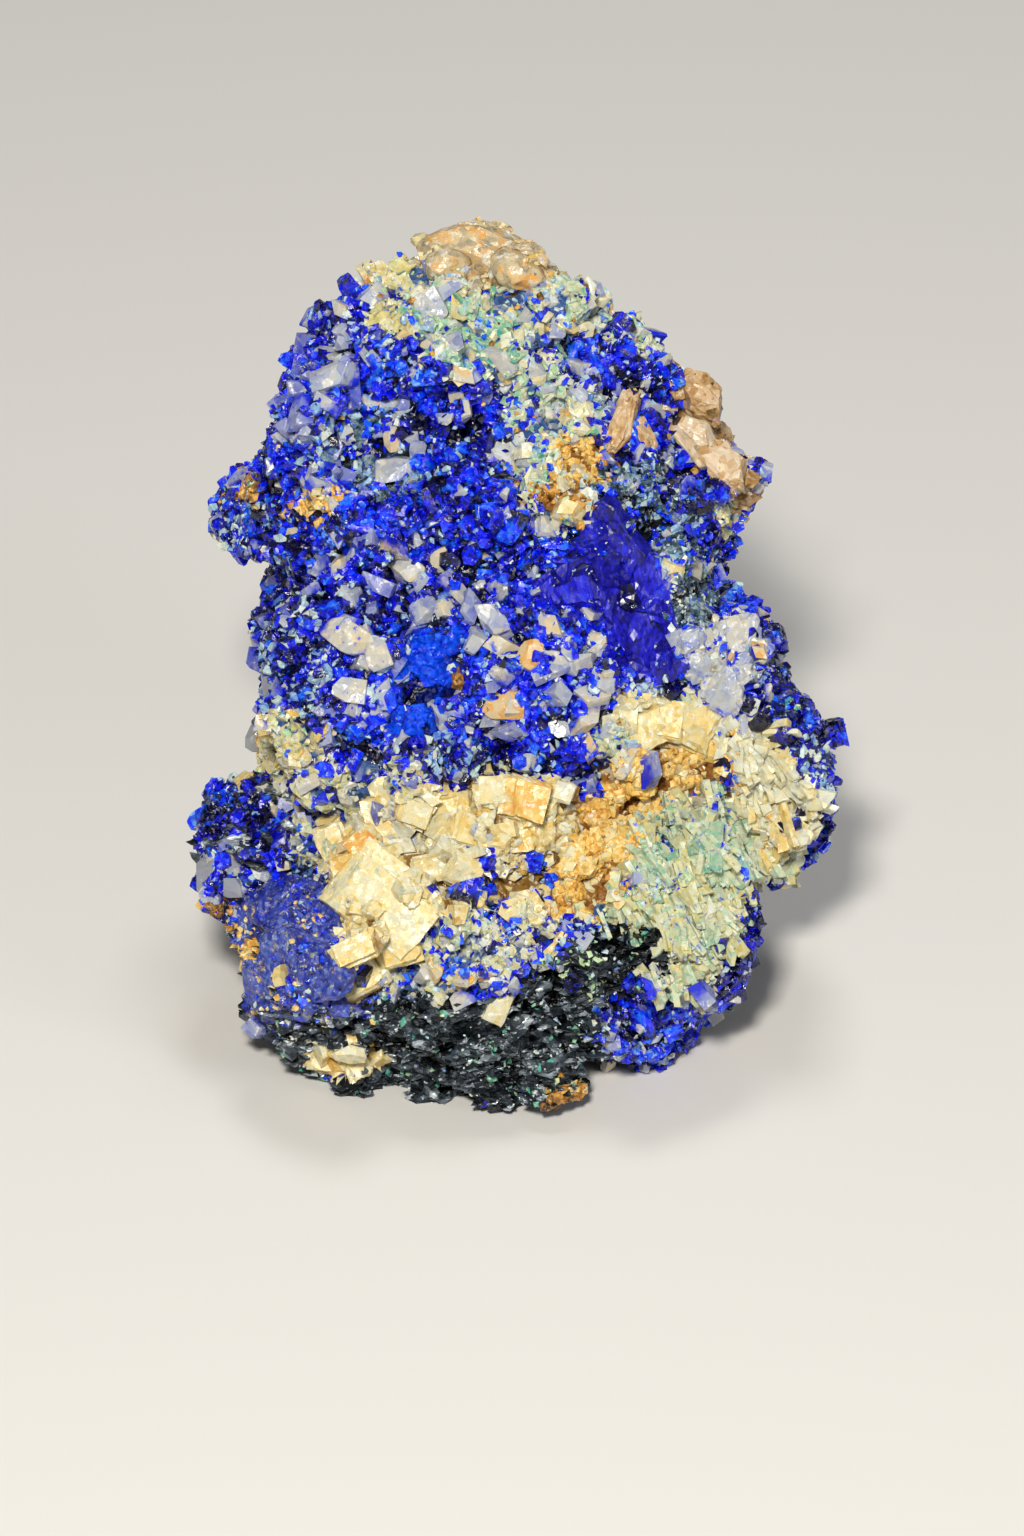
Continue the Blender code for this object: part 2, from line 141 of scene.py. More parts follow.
# What each kind of ground is: its mineral, its tone, how hard its facets stand out,
# and what grows in it, as kind, number per square cm, smallest and largest in mm, and tone.
RECIPES = {
    "blue grain": (
        "azurite", 0.32, 1.0,
        (("azurite", 54, 1.2, 3.2, 0.37), ("quartz", 38, 1.5, 3.8, 0.38), ("azurite", 34, 0.5, 1.1, 0.52),
         ("crust", 36, 0.5, 1.7, 0.56), ("ochre", 2, 0.6, 1.3, 0.7)),
    ),
    "royal": (
        "azurite", 0.30, 1.1,
        (("azurite", 64, 1.3, 3.6, 0.44), ("quartz", 6, 1.2, 2.8, 0.36), ("azurite", 40, 0.5, 1.1, 0.58),
         ("crust", 16, 0.4, 1.2, 0.56)),
    ),
    "pebbles": (
        "azurite", 0.30, 0.8,
        (("quartz", 48, 1.7, 4.2, 0.30), ("azurite", 46, 1.0, 2.6, 0.40), ("crust", 34, 0.5, 1.5, 0.50)),
    ),
    "speckle": (
        "azurite", 0.16, 1.0,
        (("crust", 90, 0.6, 2.0, 0.48), ("azurite", 80, 0.8, 2.4, 0.26), ("quartz", 16, 0.9, 2.4, 0.34)),
    ),
    "scaly": (
        "slate", 0.50, 0.9,
        (("crust", 110, 0.6, 1.7, 0.42), ("quartz", 20, 1.2, 3.0, 0.38), ("azurite", 80, 0.7, 2.0, 0.38)),
    ),
    "azure": (
        "azure", 0.42, 0.6,
        (("azurite", 50, 0.4, 0.9, 0.58),),
    ),
    "plate": (
        "plate", 0.36, 0.3,
        (("azurite", 12, 0.5, 1.4, 0.3), ("crust", 40, 0.2, 0.5, 0.5)),
    ),
    "blue face": (
        "worn azurite", 0.46, 0.5,
        (("azurite", 30, 0.5, 1.5, 0.42), ("crust", 50, 0.3, 0.9, 0.42), ("ochre", 22, 0.4, 1.1, 0.8)),
    ),
    "drift": (
        "azurite", 0.42, 0.9,
        (("quartz", 70, 1.6, 4.4, 0.44), ("azurite", 44, 0.9, 2.4, 0.36), ("crust", 44, 0.5, 1.4, 0.56)),
    ),
    "cream": (
        "cream", 0.40, 1.1,
        (("cream", 70, 1.2, 3.0, 0.40), ("cream", 84, 0.6, 1.3, 0.42), ("crust", 20, 0.4, 0.9, 0.9)),
    ),
    "cream blocks": (
        "cream", 0.30, 1.2,
        (("stack", 46, 2.0, 4.2, 0.34), ("cream", 76, 0.7, 1.8, 0.36), ("quartz", 12, 0.9, 2.0, 0.50)),
    ),
    "white and blue": (
        "mixed", 0.30, 1.0,
        (("quartz", 40, 1.2, 3.0, 0.52), ("cream", 60, 0.8, 2.0, 0.20), ("azurite", 60, 0.6, 1.7, 0.40),
         ("crust", 56, 0.4, 1.0, 0.7)),
    ),
    "yellow": (
        "mixed", 0.12, 1.0,
        (("cream", 80, 0.9, 2.6, 0.40), ("cream", 56, 0.5, 1.0, 0.46), ("malachite", 34, 0.5, 1.2, 0.14),
         ("crust", 36, 0.4, 1.0, 0.85)),
    ),
    "cream and green": (
        "mixed", 0.42, 1.0,
        (("cream", 36, 1.0, 3.2, 0.22), ("malachite", 40, 0.6, 1.4, 0.34), ("crust", 74, 0.5, 1.5, 0.58),
         ("azurite", 40, 0.5, 1.6, 0.52), ("quartz", 26, 1.4, 3.4, 0.44), ("ochre", 12, 0.5, 1.3, 0.3)),
    ),
    "green": (
        "mixed", 0.62, 0.9,
        (("malachite", 60, 0.6, 1.7, 0.40), ("cream", 34, 1.0, 3.0, 0.30), ("crust", 60, 0.5, 1.5, 0.62),
         ("quartz", 30, 1.4, 3.6, 0.46), ("azurite", 16, 0.6, 1.6, 0.5), ("ochre", 10, 0.5, 1.3, 0.3)),
    ),
    "cap": (
        "cap", 0.40, 0.6,
        (("cream", 12, 1.0, 2.4, 0.40), ("cream", 40, 0.4, 1.0, 0.50), ("quartz", 12, 1.0, 2.2, 0.58)),
    ),
    "ochre": (
        "ochre", 0.70, 1.2,
        (("ochre", 90, 0.7, 1.9, 0.66), ("ochre", 46, 0.4, 0.9, 0.44), ("cream", 90, 0.7, 2.0, 0.54)),
    ),
    "brown": (
        "ochre", 0.26, 1.0,
        (("ochre", 100, 0.5, 1.5, 0.30), ("malachite", 40, 0.4, 1.0, 0.3), ("cream", 20, 0.5, 1.0, 0.5)),
    ),
    "tan": (
        "tan rock", 0.50, 0.9,
        (("tan", 30, 1.2, 3.4, 0.56), ("tan", 50, 0.4, 1.0, 0.44), ("azurite", 12, 0.6, 1.5, 0.5),
         ("crust", 30, 0.4, 1.0, 0.9)),
    ),
    "fan": (
        "cream", 0.34, 1.0,
        (("fan blade", 320, 2.2, 5.4, 0.32), ("cream", 30, 0.6, 1.4, 0.36)),
    ),
    "columns": (
        "mixed", 0.40, 1.0,
        (("column", 260, 2.2, 5.4, 0.44), ("malachite", 60, 0.5, 1.3, 0.44), ("crust", 50, 0.4, 1.1, 0.6),
         ("cream", 24, 0.6, 1.4, 0.28), ("azurite", 14, 0.6, 1.3, 0.6)),
    ),
    "white edge": (
        "mixed", 0.30, 1.1,
        (("column", 220, 1.8, 4.8, 0.34), ("cream", 40, 0.8, 2.2, 0.20), ("crust", 44, 0.5, 1.2, 0.60),
         ("malachite", 50, 0.4, 1.0, 0.3)),
    ),
    "white lumps": (
        "quartz", 0.46, 1.0,
        (("quartz", 50, 1.4, 3.6, 0.50), ("cream", 36, 0.7, 1.6, 0.10), ("crust", 40, 0.4, 1.1, 0.6),
         ("azurite", 26, 0.6, 1.5, 0.5)),
    ),
    "deep rim": (
        "azurite", 0.14, 1.0,
        (("azurite", 100, 1.1, 3.0, 0.17), ("azurite", 34, 0.5, 1.0, 0.36), ("crust", 22, 0.4, 1.0, 0.36),
         ("quartz", 6, 0.9, 2.2, 0.30)),
    ),
    "turquoise": (
        "malachite", 0.95, 0.8,
        (("malachite", 170, 0.5, 1.1, 0.92), ("azurite", 40, 0.6, 1.3, 0.6)),
    ),
    "teal rock": (
        "slate", 0.40, 1.3,
        (("slate flake", 90, 0.8, 2.2, 0.60), ("crust", 96, 0.5, 1.4, 0.44), ("azurite", 60, 0.7, 1.7, 0.4),
         ("quartz", 16, 1.0, 2.2, 0.36)),
    ),
    "sparkle": (
        "slate", 0.50, 0.8,
        (("slate flake", 60, 0.5, 1.2, 0.55), ("crust", 150, 0.3, 0.9, 0.72)),
    ),
    "black blue": (
        "azurite", 0.10, 1.2,
        (("ore flake", 110, 1.4, 3.6, 0.60), ("azurite", 70, 0.9, 2.6, 0.24), ("crust", 24, 0.4, 1.0, 0.5)),
    ),
    "ore": (
        "ore", 0.48, 0.7,
        (("ore flake", 90, 1.2, 3.0, 0.52), ("ore flake", 90, 0.6, 1.3, 0.70), ("crust", 44, 0.2, 0.7, 0.6),
         ("malachite", 8, 0.5, 1.2, 0.6)),
    ),
    "ore and green": (
        "ore", 0.5, 0.8,
        (("malachite", 96, 0.5, 1.4, 0.34), ("ore flake", 40, 0.8, 2.0, 0.5), ("crust", 76, 0.4, 1.1, 0.6)),
    ),
    "hollow": (
        "ore", 0.16, 1.0,
        (("ore flake", 70, 0.8, 2.2, 0.34), ("crust", 30, 0.3, 0.8, 0.4), ("malachite", 16, 0.4, 1.0, 0.5)),
    ),
    "foot blue": (
        "azurite", 0.30, 1.1,
        (("azurite", 70, 1.2, 3.4, 0.40), ("quartz", 14, 0.9, 2.4, 0.4), ("azurite", 50, 0.4, 1.0, 0.6),
         ("crust", 60, 0.4, 1.2, 0.6)),
    ),
    "under": (
        "ore", 0.24, 0.9,
        (("ore flake", 30, 1.0, 2.6, 0.36), ("azurite", 24, 0.7, 1.8, 0.2), ("malachite", 30, 0.5, 1.2, 0.6)),
    ),
}

# Patches on the photo, later ones over earlier ones: the ground, and the corners of its outline in pixels.
PATCHES = (
    ("speckle", "200,480 290,520 330,560 345,660 330,720 250,730 200,700"),
    ("speckle", "236,760 380,765 450,735 560,770 560,800 400,795 345,822 236,820"),
    ("pebbles", "285,340 420,325 430,345 350,400 330,420 270,440"),
    ("pebbles", "300,560 480,540 500,620 420,640 330,640"),
    ("royal", "372,352 465,356 480,430 462,520 410,500 430,460 390,400 360,380"),
    ("royal", "340,500 560,470 590,560 480,575 350,548"),
    ("royal", "526,322 600,312 640,352 684,380 684,420 640,385 600,356 560,376"),
    ("scaly", "309,424 350,412 392,408 390,447 430,460 425,480 381,498 325,470"),
    ("drift", "462,628 519,630 560,612 604,616 625,690 600,740 540,755 470,720"),
    ("drift", "330,618 392,640 388,690 382,722 338,712"),
    ("cream and green", "478,280 590,250 656,318 668,358 600,335 530,345 480,360"),
    ("cream and green", "505,360 600,385 612,430 590,520 552,540 522,500 512,440"),
    ("green", "412,274 460,276 520,300 530,345 500,380 440,366 415,345 400,300"),
    ("green", "519,372 562,360 565,384 536,392"),
    ("yellow", "346,280 392,240 420,226 438,262 428,288 390,294"),
    ("yellow", "366,306 400,300 408,326 385,334 366,328"),
    ("cap", "414,266 414,216 460,192 530,192 580,232 578,276 520,294 462,284"),
    ("ochre", "544,446 580,436 612,456 598,480 560,476"),
    ("brown", "528,488 556,478 588,490 584,514 552,514"),
    ("ochre", "290,502 325,484 332,494 318,524 295,522"),
    ("brown", "228,468 262,470 258,502 230,500"),
    ("tan", "672,372 708,374 760,412 764,508 732,512 716,480 690,448 676,420"),
    ("yellow", "706,502 740,510 740,550 718,534"),
    ("royal", "736,418 758,420 758,446 742,446"),
    ("teal rock", "600,470 672,466 676,500 706,530 700,562 650,564 606,508"),
    ("deep rim", "672,470 696,474 730,548 728,566 700,560 700,530 676,506"),
    ("plate", "580,522 601,498 616,510 628,535 656,560 670,590 672,626 692,662 690,676 655,680 616,671 "
              "611,636 588,612 540,612 536,576 572,562"),
    ("sparkle", "669,578 686,568 716,573 726,592 712,622 690,632 672,630"),
    ("green", "672,568 712,564 722,578 690,580"),
    ("deep rim", "712,606 750,606 850,730 856,860 800,846 814,754 742,712 748,660"),
    ("speckle", "790,738 845,730 850,790 818,798 800,768"),
    ("turquoise", "772,706 790,696 796,710 776,718"),
    ("white lumps", "684,632 718,614 750,622 772,645 764,674 744,694 740,730 710,720"),
    ("cream and green", "590,735 625,690 720,690 745,735 740,830 650,850"),
    ("cream blocks", "616,716 635,698 700,700 724,724 718,744 674,760 632,750"),
    ("cream", "330,812 372,796 440,784 560,778 590,800 560,930 500,960 420,985 345,1000 335,950 345,900 "
              "318,868"),
    ("cream blocks", "335,822 376,800 470,786 520,800 500,846 440,860 372,870"),
    ("ochre", "604,762 640,748 728,745 734,770 690,795 664,806 640,862 600,912 582,926 556,912 558,872 "
              "580,835 590,800"),
    ("columns", "656,816 681,802 740,812 756,822 760,880 720,896 640,890 640,850"),
    ("fan", "734,736 752,722 792,754 806,787 808,820 786,850 756,856 744,815"),
    ("white edge", "596,905 640,882 715,888 764,852 796,852 794,872 752,882 736,950 706,1000 664,990 "
                   "660,936 600,940"),
    ("deep rim", "752,876 800,870 792,900 768,975 724,996 706,1008 716,960 738,930"),
    ("white and blue", "386,943 468,906 540,915 560,950 500,975 430,1000 380,990"),
    ("royal", "478,850 498,850 498,896 524,925 516,950 492,922"),
    ("royal", "520,850 534,846 552,882 546,894 530,876"),
    ("yellow", "255,716 290,708 326,740 318,778 262,782 246,755"),
    ("azure", "399,630 456,628 472,642 454,664 447,694 428,735 402,748 386,730 388,708 420,700 424,684 "
              "400,682"),
    ("white and blue", "262,772 300,762 380,765 440,742 400,795 345,815 322,866 298,874 288,826 262,796"),
    ("black blue", "196,792 256,782 286,818 286,856 240,858 196,850"),
    ("blue face", "224,910 254,884 290,868 330,878 345,914 338,956 352,972 374,997 370,1028 328,1034 "
                  "284,1028 244,1040 226,1000"),
    ("ochre", "244,936 258,938 272,968 266,980 246,974"),
    ("brown", "206,912 226,892 236,900 222,924"),
    ("ore", "280,1026 370,1018 376,996 462,996 524,980 573,974 622,986 606,1015 600,1045 620,1056 580,1120 "
            "240,1130 250,1050"),
    ("ore and green", "540,956 594,940 612,984 584,990 536,978"),
    ("hollow", "590,934 626,922 664,930 670,958 656,984 604,984"),
    ("foot blue", "590,1022 606,1000 648,984 680,996 694,1030 684,1058 656,1084 622,1062 618,1028"),
    ("cream blocks", "304,1056 320,1048 382,1048 378,1070 336,1076"),
    ("under", "240,1042 306,1062 364,1082 400,1086 380,1130 240,1130"),
    ("brown", "548,1090 586,1078 602,1068 586,1120 552,1110"),
)

# Large crystals and blocks by kind: place on the photo, width, height and depth in mm,
# turn in the picture in degrees, and tone.
LANDMARKS = {
    "cap": (
        (482, 256, 13.2, 7.2, 8.0, -8, 0.48), (516, 272, 6.0, 4.2, 4.6, -30, 0.44),
        (444, 268, 5.0, 4.0, 4.2, 24, 0.4),
    ),
    "milky": (
        (433, 309, 3.4, 3.8, 2.6, 28, 0.5), (333, 376, 5.4, 3.0, 3.2, 14, 0.34),
        (299, 393, 2.6, 2.8, 2.2, 0, 0.24), (326, 300, 5.4, 2.0, 2.4, -16, 0.44),
        (288, 430, 3.2, 1.7, 1.6, -42, 0.14), (344, 340, 2.8, 2.0, 2.0, 10, 0.22),
        (374, 403, 2.5, 2.1, 2.0, 0, 0.46), (390, 403, 2.2, 2.0, 1.8, 0, 0.3),
        (404, 404, 2.2, 2.0, 1.8, 0, 0.26), (462, 398, 2.2, 5.0, 2.4, 12, 0.5),
        (404, 466, 6.2, 2.4, 2.6, 10, 0.44), (340, 478, 3.4, 2.6, 1.6, -24, 0.16),
        (545, 527, 2.3, 2.3, 2.2, 0, 0.52), (410, 569, 4.4, 2.6, 2.6, -6, 0.5),
        (442, 562, 4.0, 3.4, 2.2, 24, 0.6), (346, 597, 2.6, 3.2, 2.2, 10, 0.4),
        (298, 611, 4.2, 1.6, 1.6, -10, 0.08), (378, 584, 4.0, 1.8, 1.6, -22, 0.14),
        (350, 636, 5.6, 3.6, 2.6, -34, 0.6), (376, 654, 3.0, 3.6, 2.4, 20, 0.5),
        (444, 607, 2.8, 2.2, 1.8, 0, 0.55), (484, 585, 2.4, 1.7, 1.6, 10, 0.5),
        (492, 618, 3.0, 3.8, 2.2, 20, 0.36), (351, 690, 3.8, 2.8, 2.2, -6, 0.52),
        (372, 706, 3.2, 2.6, 2.2, 40, 0.4), (506, 648, 4.6, 2.0, 2.2, -30, 0.56),
        (530, 655, 2.8, 3.2, 2.2, -20, 0.8), (560, 660, 5.2, 2.0, 2.0, -28, 0.46),
        (592, 640, 3.6, 3.0, 2.4, 0, 0.56), (604, 682, 3.4, 2.4, 2.0, -24, 0.34),
        (500, 704, 5.0, 3.6, 3.2, 0, 0.84), (470, 727, 2.8, 2.0, 1.8, 0, 0.5),
        (524, 764, 2.8, 2.0, 1.8, 0, 0.44),
    ),
    "lump": (
        (700, 664, 5.4, 4.4, 3.6, -10, 0.36), (738, 648, 6.4, 5.6, 4.0, 30, 0.44),
        (722, 690, 4.6, 5.0, 3.6, 0, 0.4), (702, 722, 4.0, 4.0, 3.4, 20, 0.5),
        (690, 640, 4.0, 3.4, 3.0, 20, 0.34),
    ),
    "block": (
        (382, 900, 11.4, 7.6, 6.0, -38, 0.38), (418, 922, 4.2, 3.4, 3.0, -30, 0.42),
        (386, 822, 4.8, 5.4, 4.0, 18, 0.5), (332, 838, 3.4, 3.2, 3.0, 20, 0.42),
        (358, 850, 3.6, 3.4, 3.2, 42, 0.72), (344, 868, 3.0, 2.6, 2.6, 10, 0.62),
        (438, 816, 7.6, 4.6, 4.0, 8, 0.5), (414, 812, 3.4, 3.2, 3.0, -20, 0.36),
        (470, 832, 4.4, 3.8, 3.4, -10, 0.46), (430, 868, 4.0, 3.0, 3.0, 12, 0.4),
        (462, 872, 3.6, 3.4, 3.0, -30, 0.34), (496, 794, 4.2, 3.6, 3.4, 6, 0.34),
        (526, 800, 4.4, 4.6, 3.8, -14, 0.64), (520, 838, 4.4, 2.8, 3.0, 4, 0.6),
        (560, 790, 3.2, 2.4, 2.4, -20, 0.24), (640, 728, 5.2, 4.6, 3.8, 20, 0.44),
        (668, 724, 5.0, 4.8, 4.0, -10, 0.52), (702, 722, 4.8, 4.0, 3.8, -34, 0.42),
        (356, 950, 4.8, 2.8, 2.6, 24, 0.5), (398, 954, 4.8, 2.6, 2.4, 18, 0.52),
        (362, 984, 5.6, 2.0, 2.4, 26, 0.46), (500, 1004, 2.6, 4.2, 2.8, -28, 0.3),
        (328, 1062, 4.4, 2.4, 2.4, -8, 0.4), (356, 1064, 2.6, 3.2, 2.2, 30, 0.36),
    ),
    "clear": (
        (207, 874, 2.8, 3.6, 2.6, 0, 0.3), (234, 866, 3.6, 2.8, 2.6, 24, 0.4),
        (234, 889, 2.4, 2.2, 2.2, 0, 0.3), (272, 688, 2.6, 3.4, 2.4, 10, 0.2),
        (256, 736, 2.2, 3.4, 2.2, -20, 0.2),
    ),
    "tan": (
        (622, 424, 3.4, 7.4, 3.4, -24, 0.52), (644, 436, 2.8, 5.4, 2.8, 16, 0.56),
        (698, 398, 8.6, 4.6, 5.6, -38, 0.42), (722, 420, 6.4, 4.2, 5.0, -44, 0.5),
        (702, 446, 4.4, 8.4, 4.4, 32, 0.86), (728, 470, 4.2, 8.0, 4.6, 36, 0.64),
        (742, 494, 4.8, 3.6, 4.0, -10, 0.36),
    ),
    "iron": (
        (458, 682, 2.0, 3.2, 2.0, 0, 0.2), (219, 905, 1.6, 2.8, 2.0, -24, 0.16),
    ),
    "metal": (
        (238, 840, 4.6, 1.8, 1.6, 18, 0.8), (418, 688, 3.2, 1.6, 1.6, 0, 0.6),
    ),
}

# Broken crystal faces that read as one slab: mineral, tone, thickness and waviness in mm,
# and the corners of its outline on the photo.
SLABS = (
    ("plate", 0.3, 2.2, 0.25, "583,526 592,512 601,500 614,510 628,535 646,556 642,576 640,590 614,596 "
                              "600,584 594,574"),
    ("plate", 0.46, 2.0, 0.22, "630,540 657,560 668,594 672,612 676,626 650,622 634,590"),
    ("plate", 0.38, 2.0, 0.25, "596,590 616,588 636,594 652,618 672,634 690,662 680,674 668,672 630,662 "
                               "608,628"),
    ("plate", 0.56, 1.6, 0.3, "541,584 556,572 570,566 588,576 598,606 586,614 548,610"),
    ("azurite", 0.34, 1.6, 0.35, "618,1012 640,992 662,998 670,1018 650,1030 626,1030"),
    ("azurite", 0.12, 1.4, 0.3, "762,690 792,680 806,700 798,716 772,718"),
    ("worn azurite", 0.44, 1.6, 0.5, "250,892 268,880 296,872 324,884 334,906 340,928 318,948 298,936 "
                                     "262,928 246,908"),
    ("worn azurite", 0.52, 1.6, 0.5, "262,934 284,926 312,940 334,954 350,976 340,996 312,1004 290,990 "
                                     "268,984 256,960"),
    ("worn azurite", 0.62, 1.4, 0.5, "240,966 262,972 282,992 318,1010 306,1022 270,1016 244,1000"),
)

# How each kind of grain stands: how far it leans from its direction,
# and how deep it sinks, as a share of its size.
STANCES = {
    "azurite": (0.60, 0.26),
    "quartz": (0.45, 0.20),
    "crust": (0.60, 0.16),
    "cream": (0.50, 0.24),
    "stack": (0.45, 0.22),
    "ochre": (0.60, 0.20),
    "tan": (0.40, 0.30),
    "malachite": (0.60, 0.16),
    "fan blade": (0.20, 0.10),
    "column": (0.16, 0.14),
    "ore flake": (0.15, 0.16),
    "slate flake": (0.50, 0.12),
}

# The pixel that the fan's blades spread from, the way the columns run, how far both turn out of the skin,
# and the way the ore's flakes face.
FAN_ROOT = (738, 742)
FAN_OUT = 0.40
COLUMN_RUN = Vector((0.30, -0.35, -0.90)).normalized()
COLUMN_OUT = 0.45
LEVEL = Vector((-0.10, -0.16, 1)).normalized()

# Grains: the shapes of a kind, and how far their tones vary, by themselves and in clouds this many mm wide.
VARIANTS = 9
TONE_SPREAD = {
    "azurite": 0.15, "quartz": 0.11, "cream": 0.08, "stack": 0.07, "fan blade": 0.07, "column": 0.08,
}
OTHER_SPREAD = 0.12
CLOUD = 2.8
CLOUD_TONE = 0.30

# They stand in clumps this many mm wide, the pale kinds apart from the dark: usual crowd, swing and limits.
CLUMP = 3.6
CLUMP_LEVEL = 0.9
CLUMP_SWING = 2.2
CLUMP_LIMITS = (0.12, 3)
PALE_KINDS = ("quartz", "crust", "cream")

# Grains above this many mm keep apart by this share of the larger one's size.
THINNED_FROM = 1.15
CROWDING = 0.62
CROWDED = {"fan blade": 0.14, "column": 0.15}
PIECE_LIMIT = 190000

# How a crystal, small or large, takes the stain colour at its foot, and how fast that fades up its height:
# painted shade where it meets the ground and that colour is dark, and a real stain where it is blue.
FOOT_STAIN_AND_SHADE = 0.55
FOOT_FADE = 1.5
LARGE_STAIN_AND_SHADE = 0.62
LARGE_FADE = 1.6
LARGE_SHARE = 0.85
LARGE_SINK = 0.18

# A slab leans towards the camera by this share, lies this many mm proud, and its edge is broken by this many.
SLAB_LEAN = 0.35
SLAB_RISE = 0.15
SLAB_EDGE = 0.14
SLAB_CUTS = 5

# The noises in a mineral: its grain's, a slower one that is this many times wider, and its dust's.
FINE_NOISE = {"Detail": 4, "Roughness": 0.62}
SLOW_NOISE = {"Detail": 2, "Roughness": 0.5}
DUST_NOISE = {"Detail": 5, "Roughness": 0.66}
SLOWER = 4.5

# Its tone swings with the first two and with this share of its facets' levels, about what they average.
FACET_SHARE = 0.7
AVERAGE = 1 + FACET_SHARE / 2

# How much noise its dust fades in over, its gloss swings over and the edge of its stain and painted shade
# takes, where that edge fades in, and how strong its bumps are.
DUST_EDGE = 0.08
GLOSS_NOISE = (0.35, 0.65)
STAIN_AND_SHADE_NOISE = 1.2
STAIN_AND_SHADE_EDGE = (1.0, 1.4)
BUMP_STRENGTH = 0.8

# How much each ground stains and shades the foot of what grows on it: painted shade where the grain's stain
# colour is dark, and a real stain where it is blue.
STAIN_AND_SHADE_FROM = {"azurite": 1.0, "plate": 1.0, "slate": 0.8, "ore": 0.7}


def link(obj):
    bpy.context.scene.collection.objects.link(obj)
    return obj


def applied(obj):
    """Applies the object's modifiers to its mesh."""
    graph = bpy.context.evaluated_depsgraph_get()
    mesh = bpy.data.meshes.new_from_object(obj.evaluated_get(graph))
    obj.modifiers.clear()
    obj.data = mesh


def to_photo(points):
    """The pixels of the photo at which these points are seen."""
    away = points - np.array(CAMERA)
    depth = -away @ np.array(TOWARDS_CAMERA)
    across = PHOTO_WIDTH / 2 + FOCAL_PIXELS * (away @ np.array(RIGHT)) / depth
    down = PHOTO_HEIGHT / 2 - FOCAL_PIXELS * (away @ np.array(UP)) / depth
    return np.stack([across, down], axis=1)


def photo_ray(across, down):
    """The direction from the camera through a pixel of the photo."""
    sideways = RIGHT * (across - PHOTO_WIDTH / 2) + UP * (PHOTO_HEIGHT / 2 - down)
    return (sideways / FOCAL_PIXELS - TOWARDS_CAMERA).normalized()


def corners_of(outline):
    """The corners of an outline, from its text."""
    return [tuple(int(number) for number in corner.split(",")) for corner in outline.split()]


def inside(outline, across, down):
    """Which points lie inside an outline, by counting the sides that each one sees to its right."""
    found = np.zeros(len(across), bool)
    for (u0, v0), (u1, v1) in zip(outline, outline[1:] + outline[:1]):
        if v0 != v1:
            slope = (u1 - u0) / (v1 - v0)
            found ^= ((v0 > down) != (v1 > down)) & (across < u0 + slope * (down - v0))
    return found


def noise_at(points, size, offset=0.0):
    """Slow noise over the points, from about -1 to 1, with swells about this many mm wide."""
    shift = Vector((offset, offset * 1.7, offset * 2.3))
    return np.array([noise.noise(Vector(point) / (size * MM) + shift) for point in points])


def mesh_points(mesh):
    points = np.empty(len(mesh.vertices) * 3, np.float32)
    mesh.vertices.foreach_get("co", points)
    normals = np.empty(len(mesh.vertices) * 3, np.float32)
    mesh.vertex_normals.foreach_get("vector", normals)
    return points.reshape(-1, 3).astype(float), normals.reshape(-1, 3).astype(float)


def move_points(mesh, points):
    mesh.vertices.foreach_set("co", points.astype(np.float32).ravel())
    mesh.update()


def draw_skin(node):
    """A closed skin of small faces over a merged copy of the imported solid."""
    bm = bmesh.new()
    bm.from_mesh(node.data)
    bmesh.ops.remove_doubles(bm, verts=bm.verts, dist=0.01 * MM)
    mesh = bpy.data.meshes.new("rock_body")
    bm.to_mesh(mesh)
    bm.free()
    body = link(bpy.data.objects.new("rock_body", mesh))
    skin = body.modifiers.new("skin", "REMESH")
    skin.mode = "VOXEL"
    skin.voxel_size = SKIN_CELL
    soften = body.modifiers.new("soften", "SMOOTH")
    soften.iterations = 4
    applied(body)
    return body


def hidden_ground(point, slow, quick):
    """The ground where the photo can't see: ore below, cream seams and ochre spots, and blue elsewhere."""
    height = point[2] / MM
    if height < UNDERSIDE_TO:
        return "under"
    if height < ORE_TO + ORE_SWING * slow:
        return "ore"
    if height > CAP_FROM:
        return "cap"
    if slow > SEAM_FROM:
        return "cream" if height < CREAM_TO else "drift"
    if abs(quick) > SPOT_FROM:
        return "ochre" if quick > 0 else "pebbles"
    return "royal" if slow < -ROYAL_FROM else "blue grain"


def ground_of(points, normals, jitter, rng):
    """The number of each point's recipe. Jitter, in pixels, mixes neighbours along their border."""
    names = list(RECIPES)
    wander = np.stack([noise_at(points, 2.6, 5), noise_at(points, 2.6, 31)], axis=1)
    wander += 0.6 * np.stack([noise_at(points, 0.9, 12), noise_at(points, 0.9, 47)], axis=1)
    across, down = (to_photo(points) + wander * BORDER_WANDER + rng.normal(0, jitter, wander.shape)).T
    ground = np.full(len(points), names.index("blue grain"))
    for name, outline in PATCHES:
        ground[inside(corners_of(outline), across, down)] = names.index(name)
    slow = noise_at(points, 15, 3)
    quick = noise_at(points, 8, 21)
    hidden = normals @ np.array(TOWARDS_CAMERA) < FRONT_LIMIT
    for index in np.flatnonzero(hidden):
        ground[index] = names.index(hidden_ground(points[index], slow[index], quick[index]))
    return ground


def scattered_sites(points, spacing, rng):
    """About one point for each cube of this spacing, picked at random."""
    order = rng.permutation(len(points))
    cells = np.floor(points[order] / spacing).astype(int)
    _, first = np.unique(cells, axis=0, return_index=True)
    return order[first]


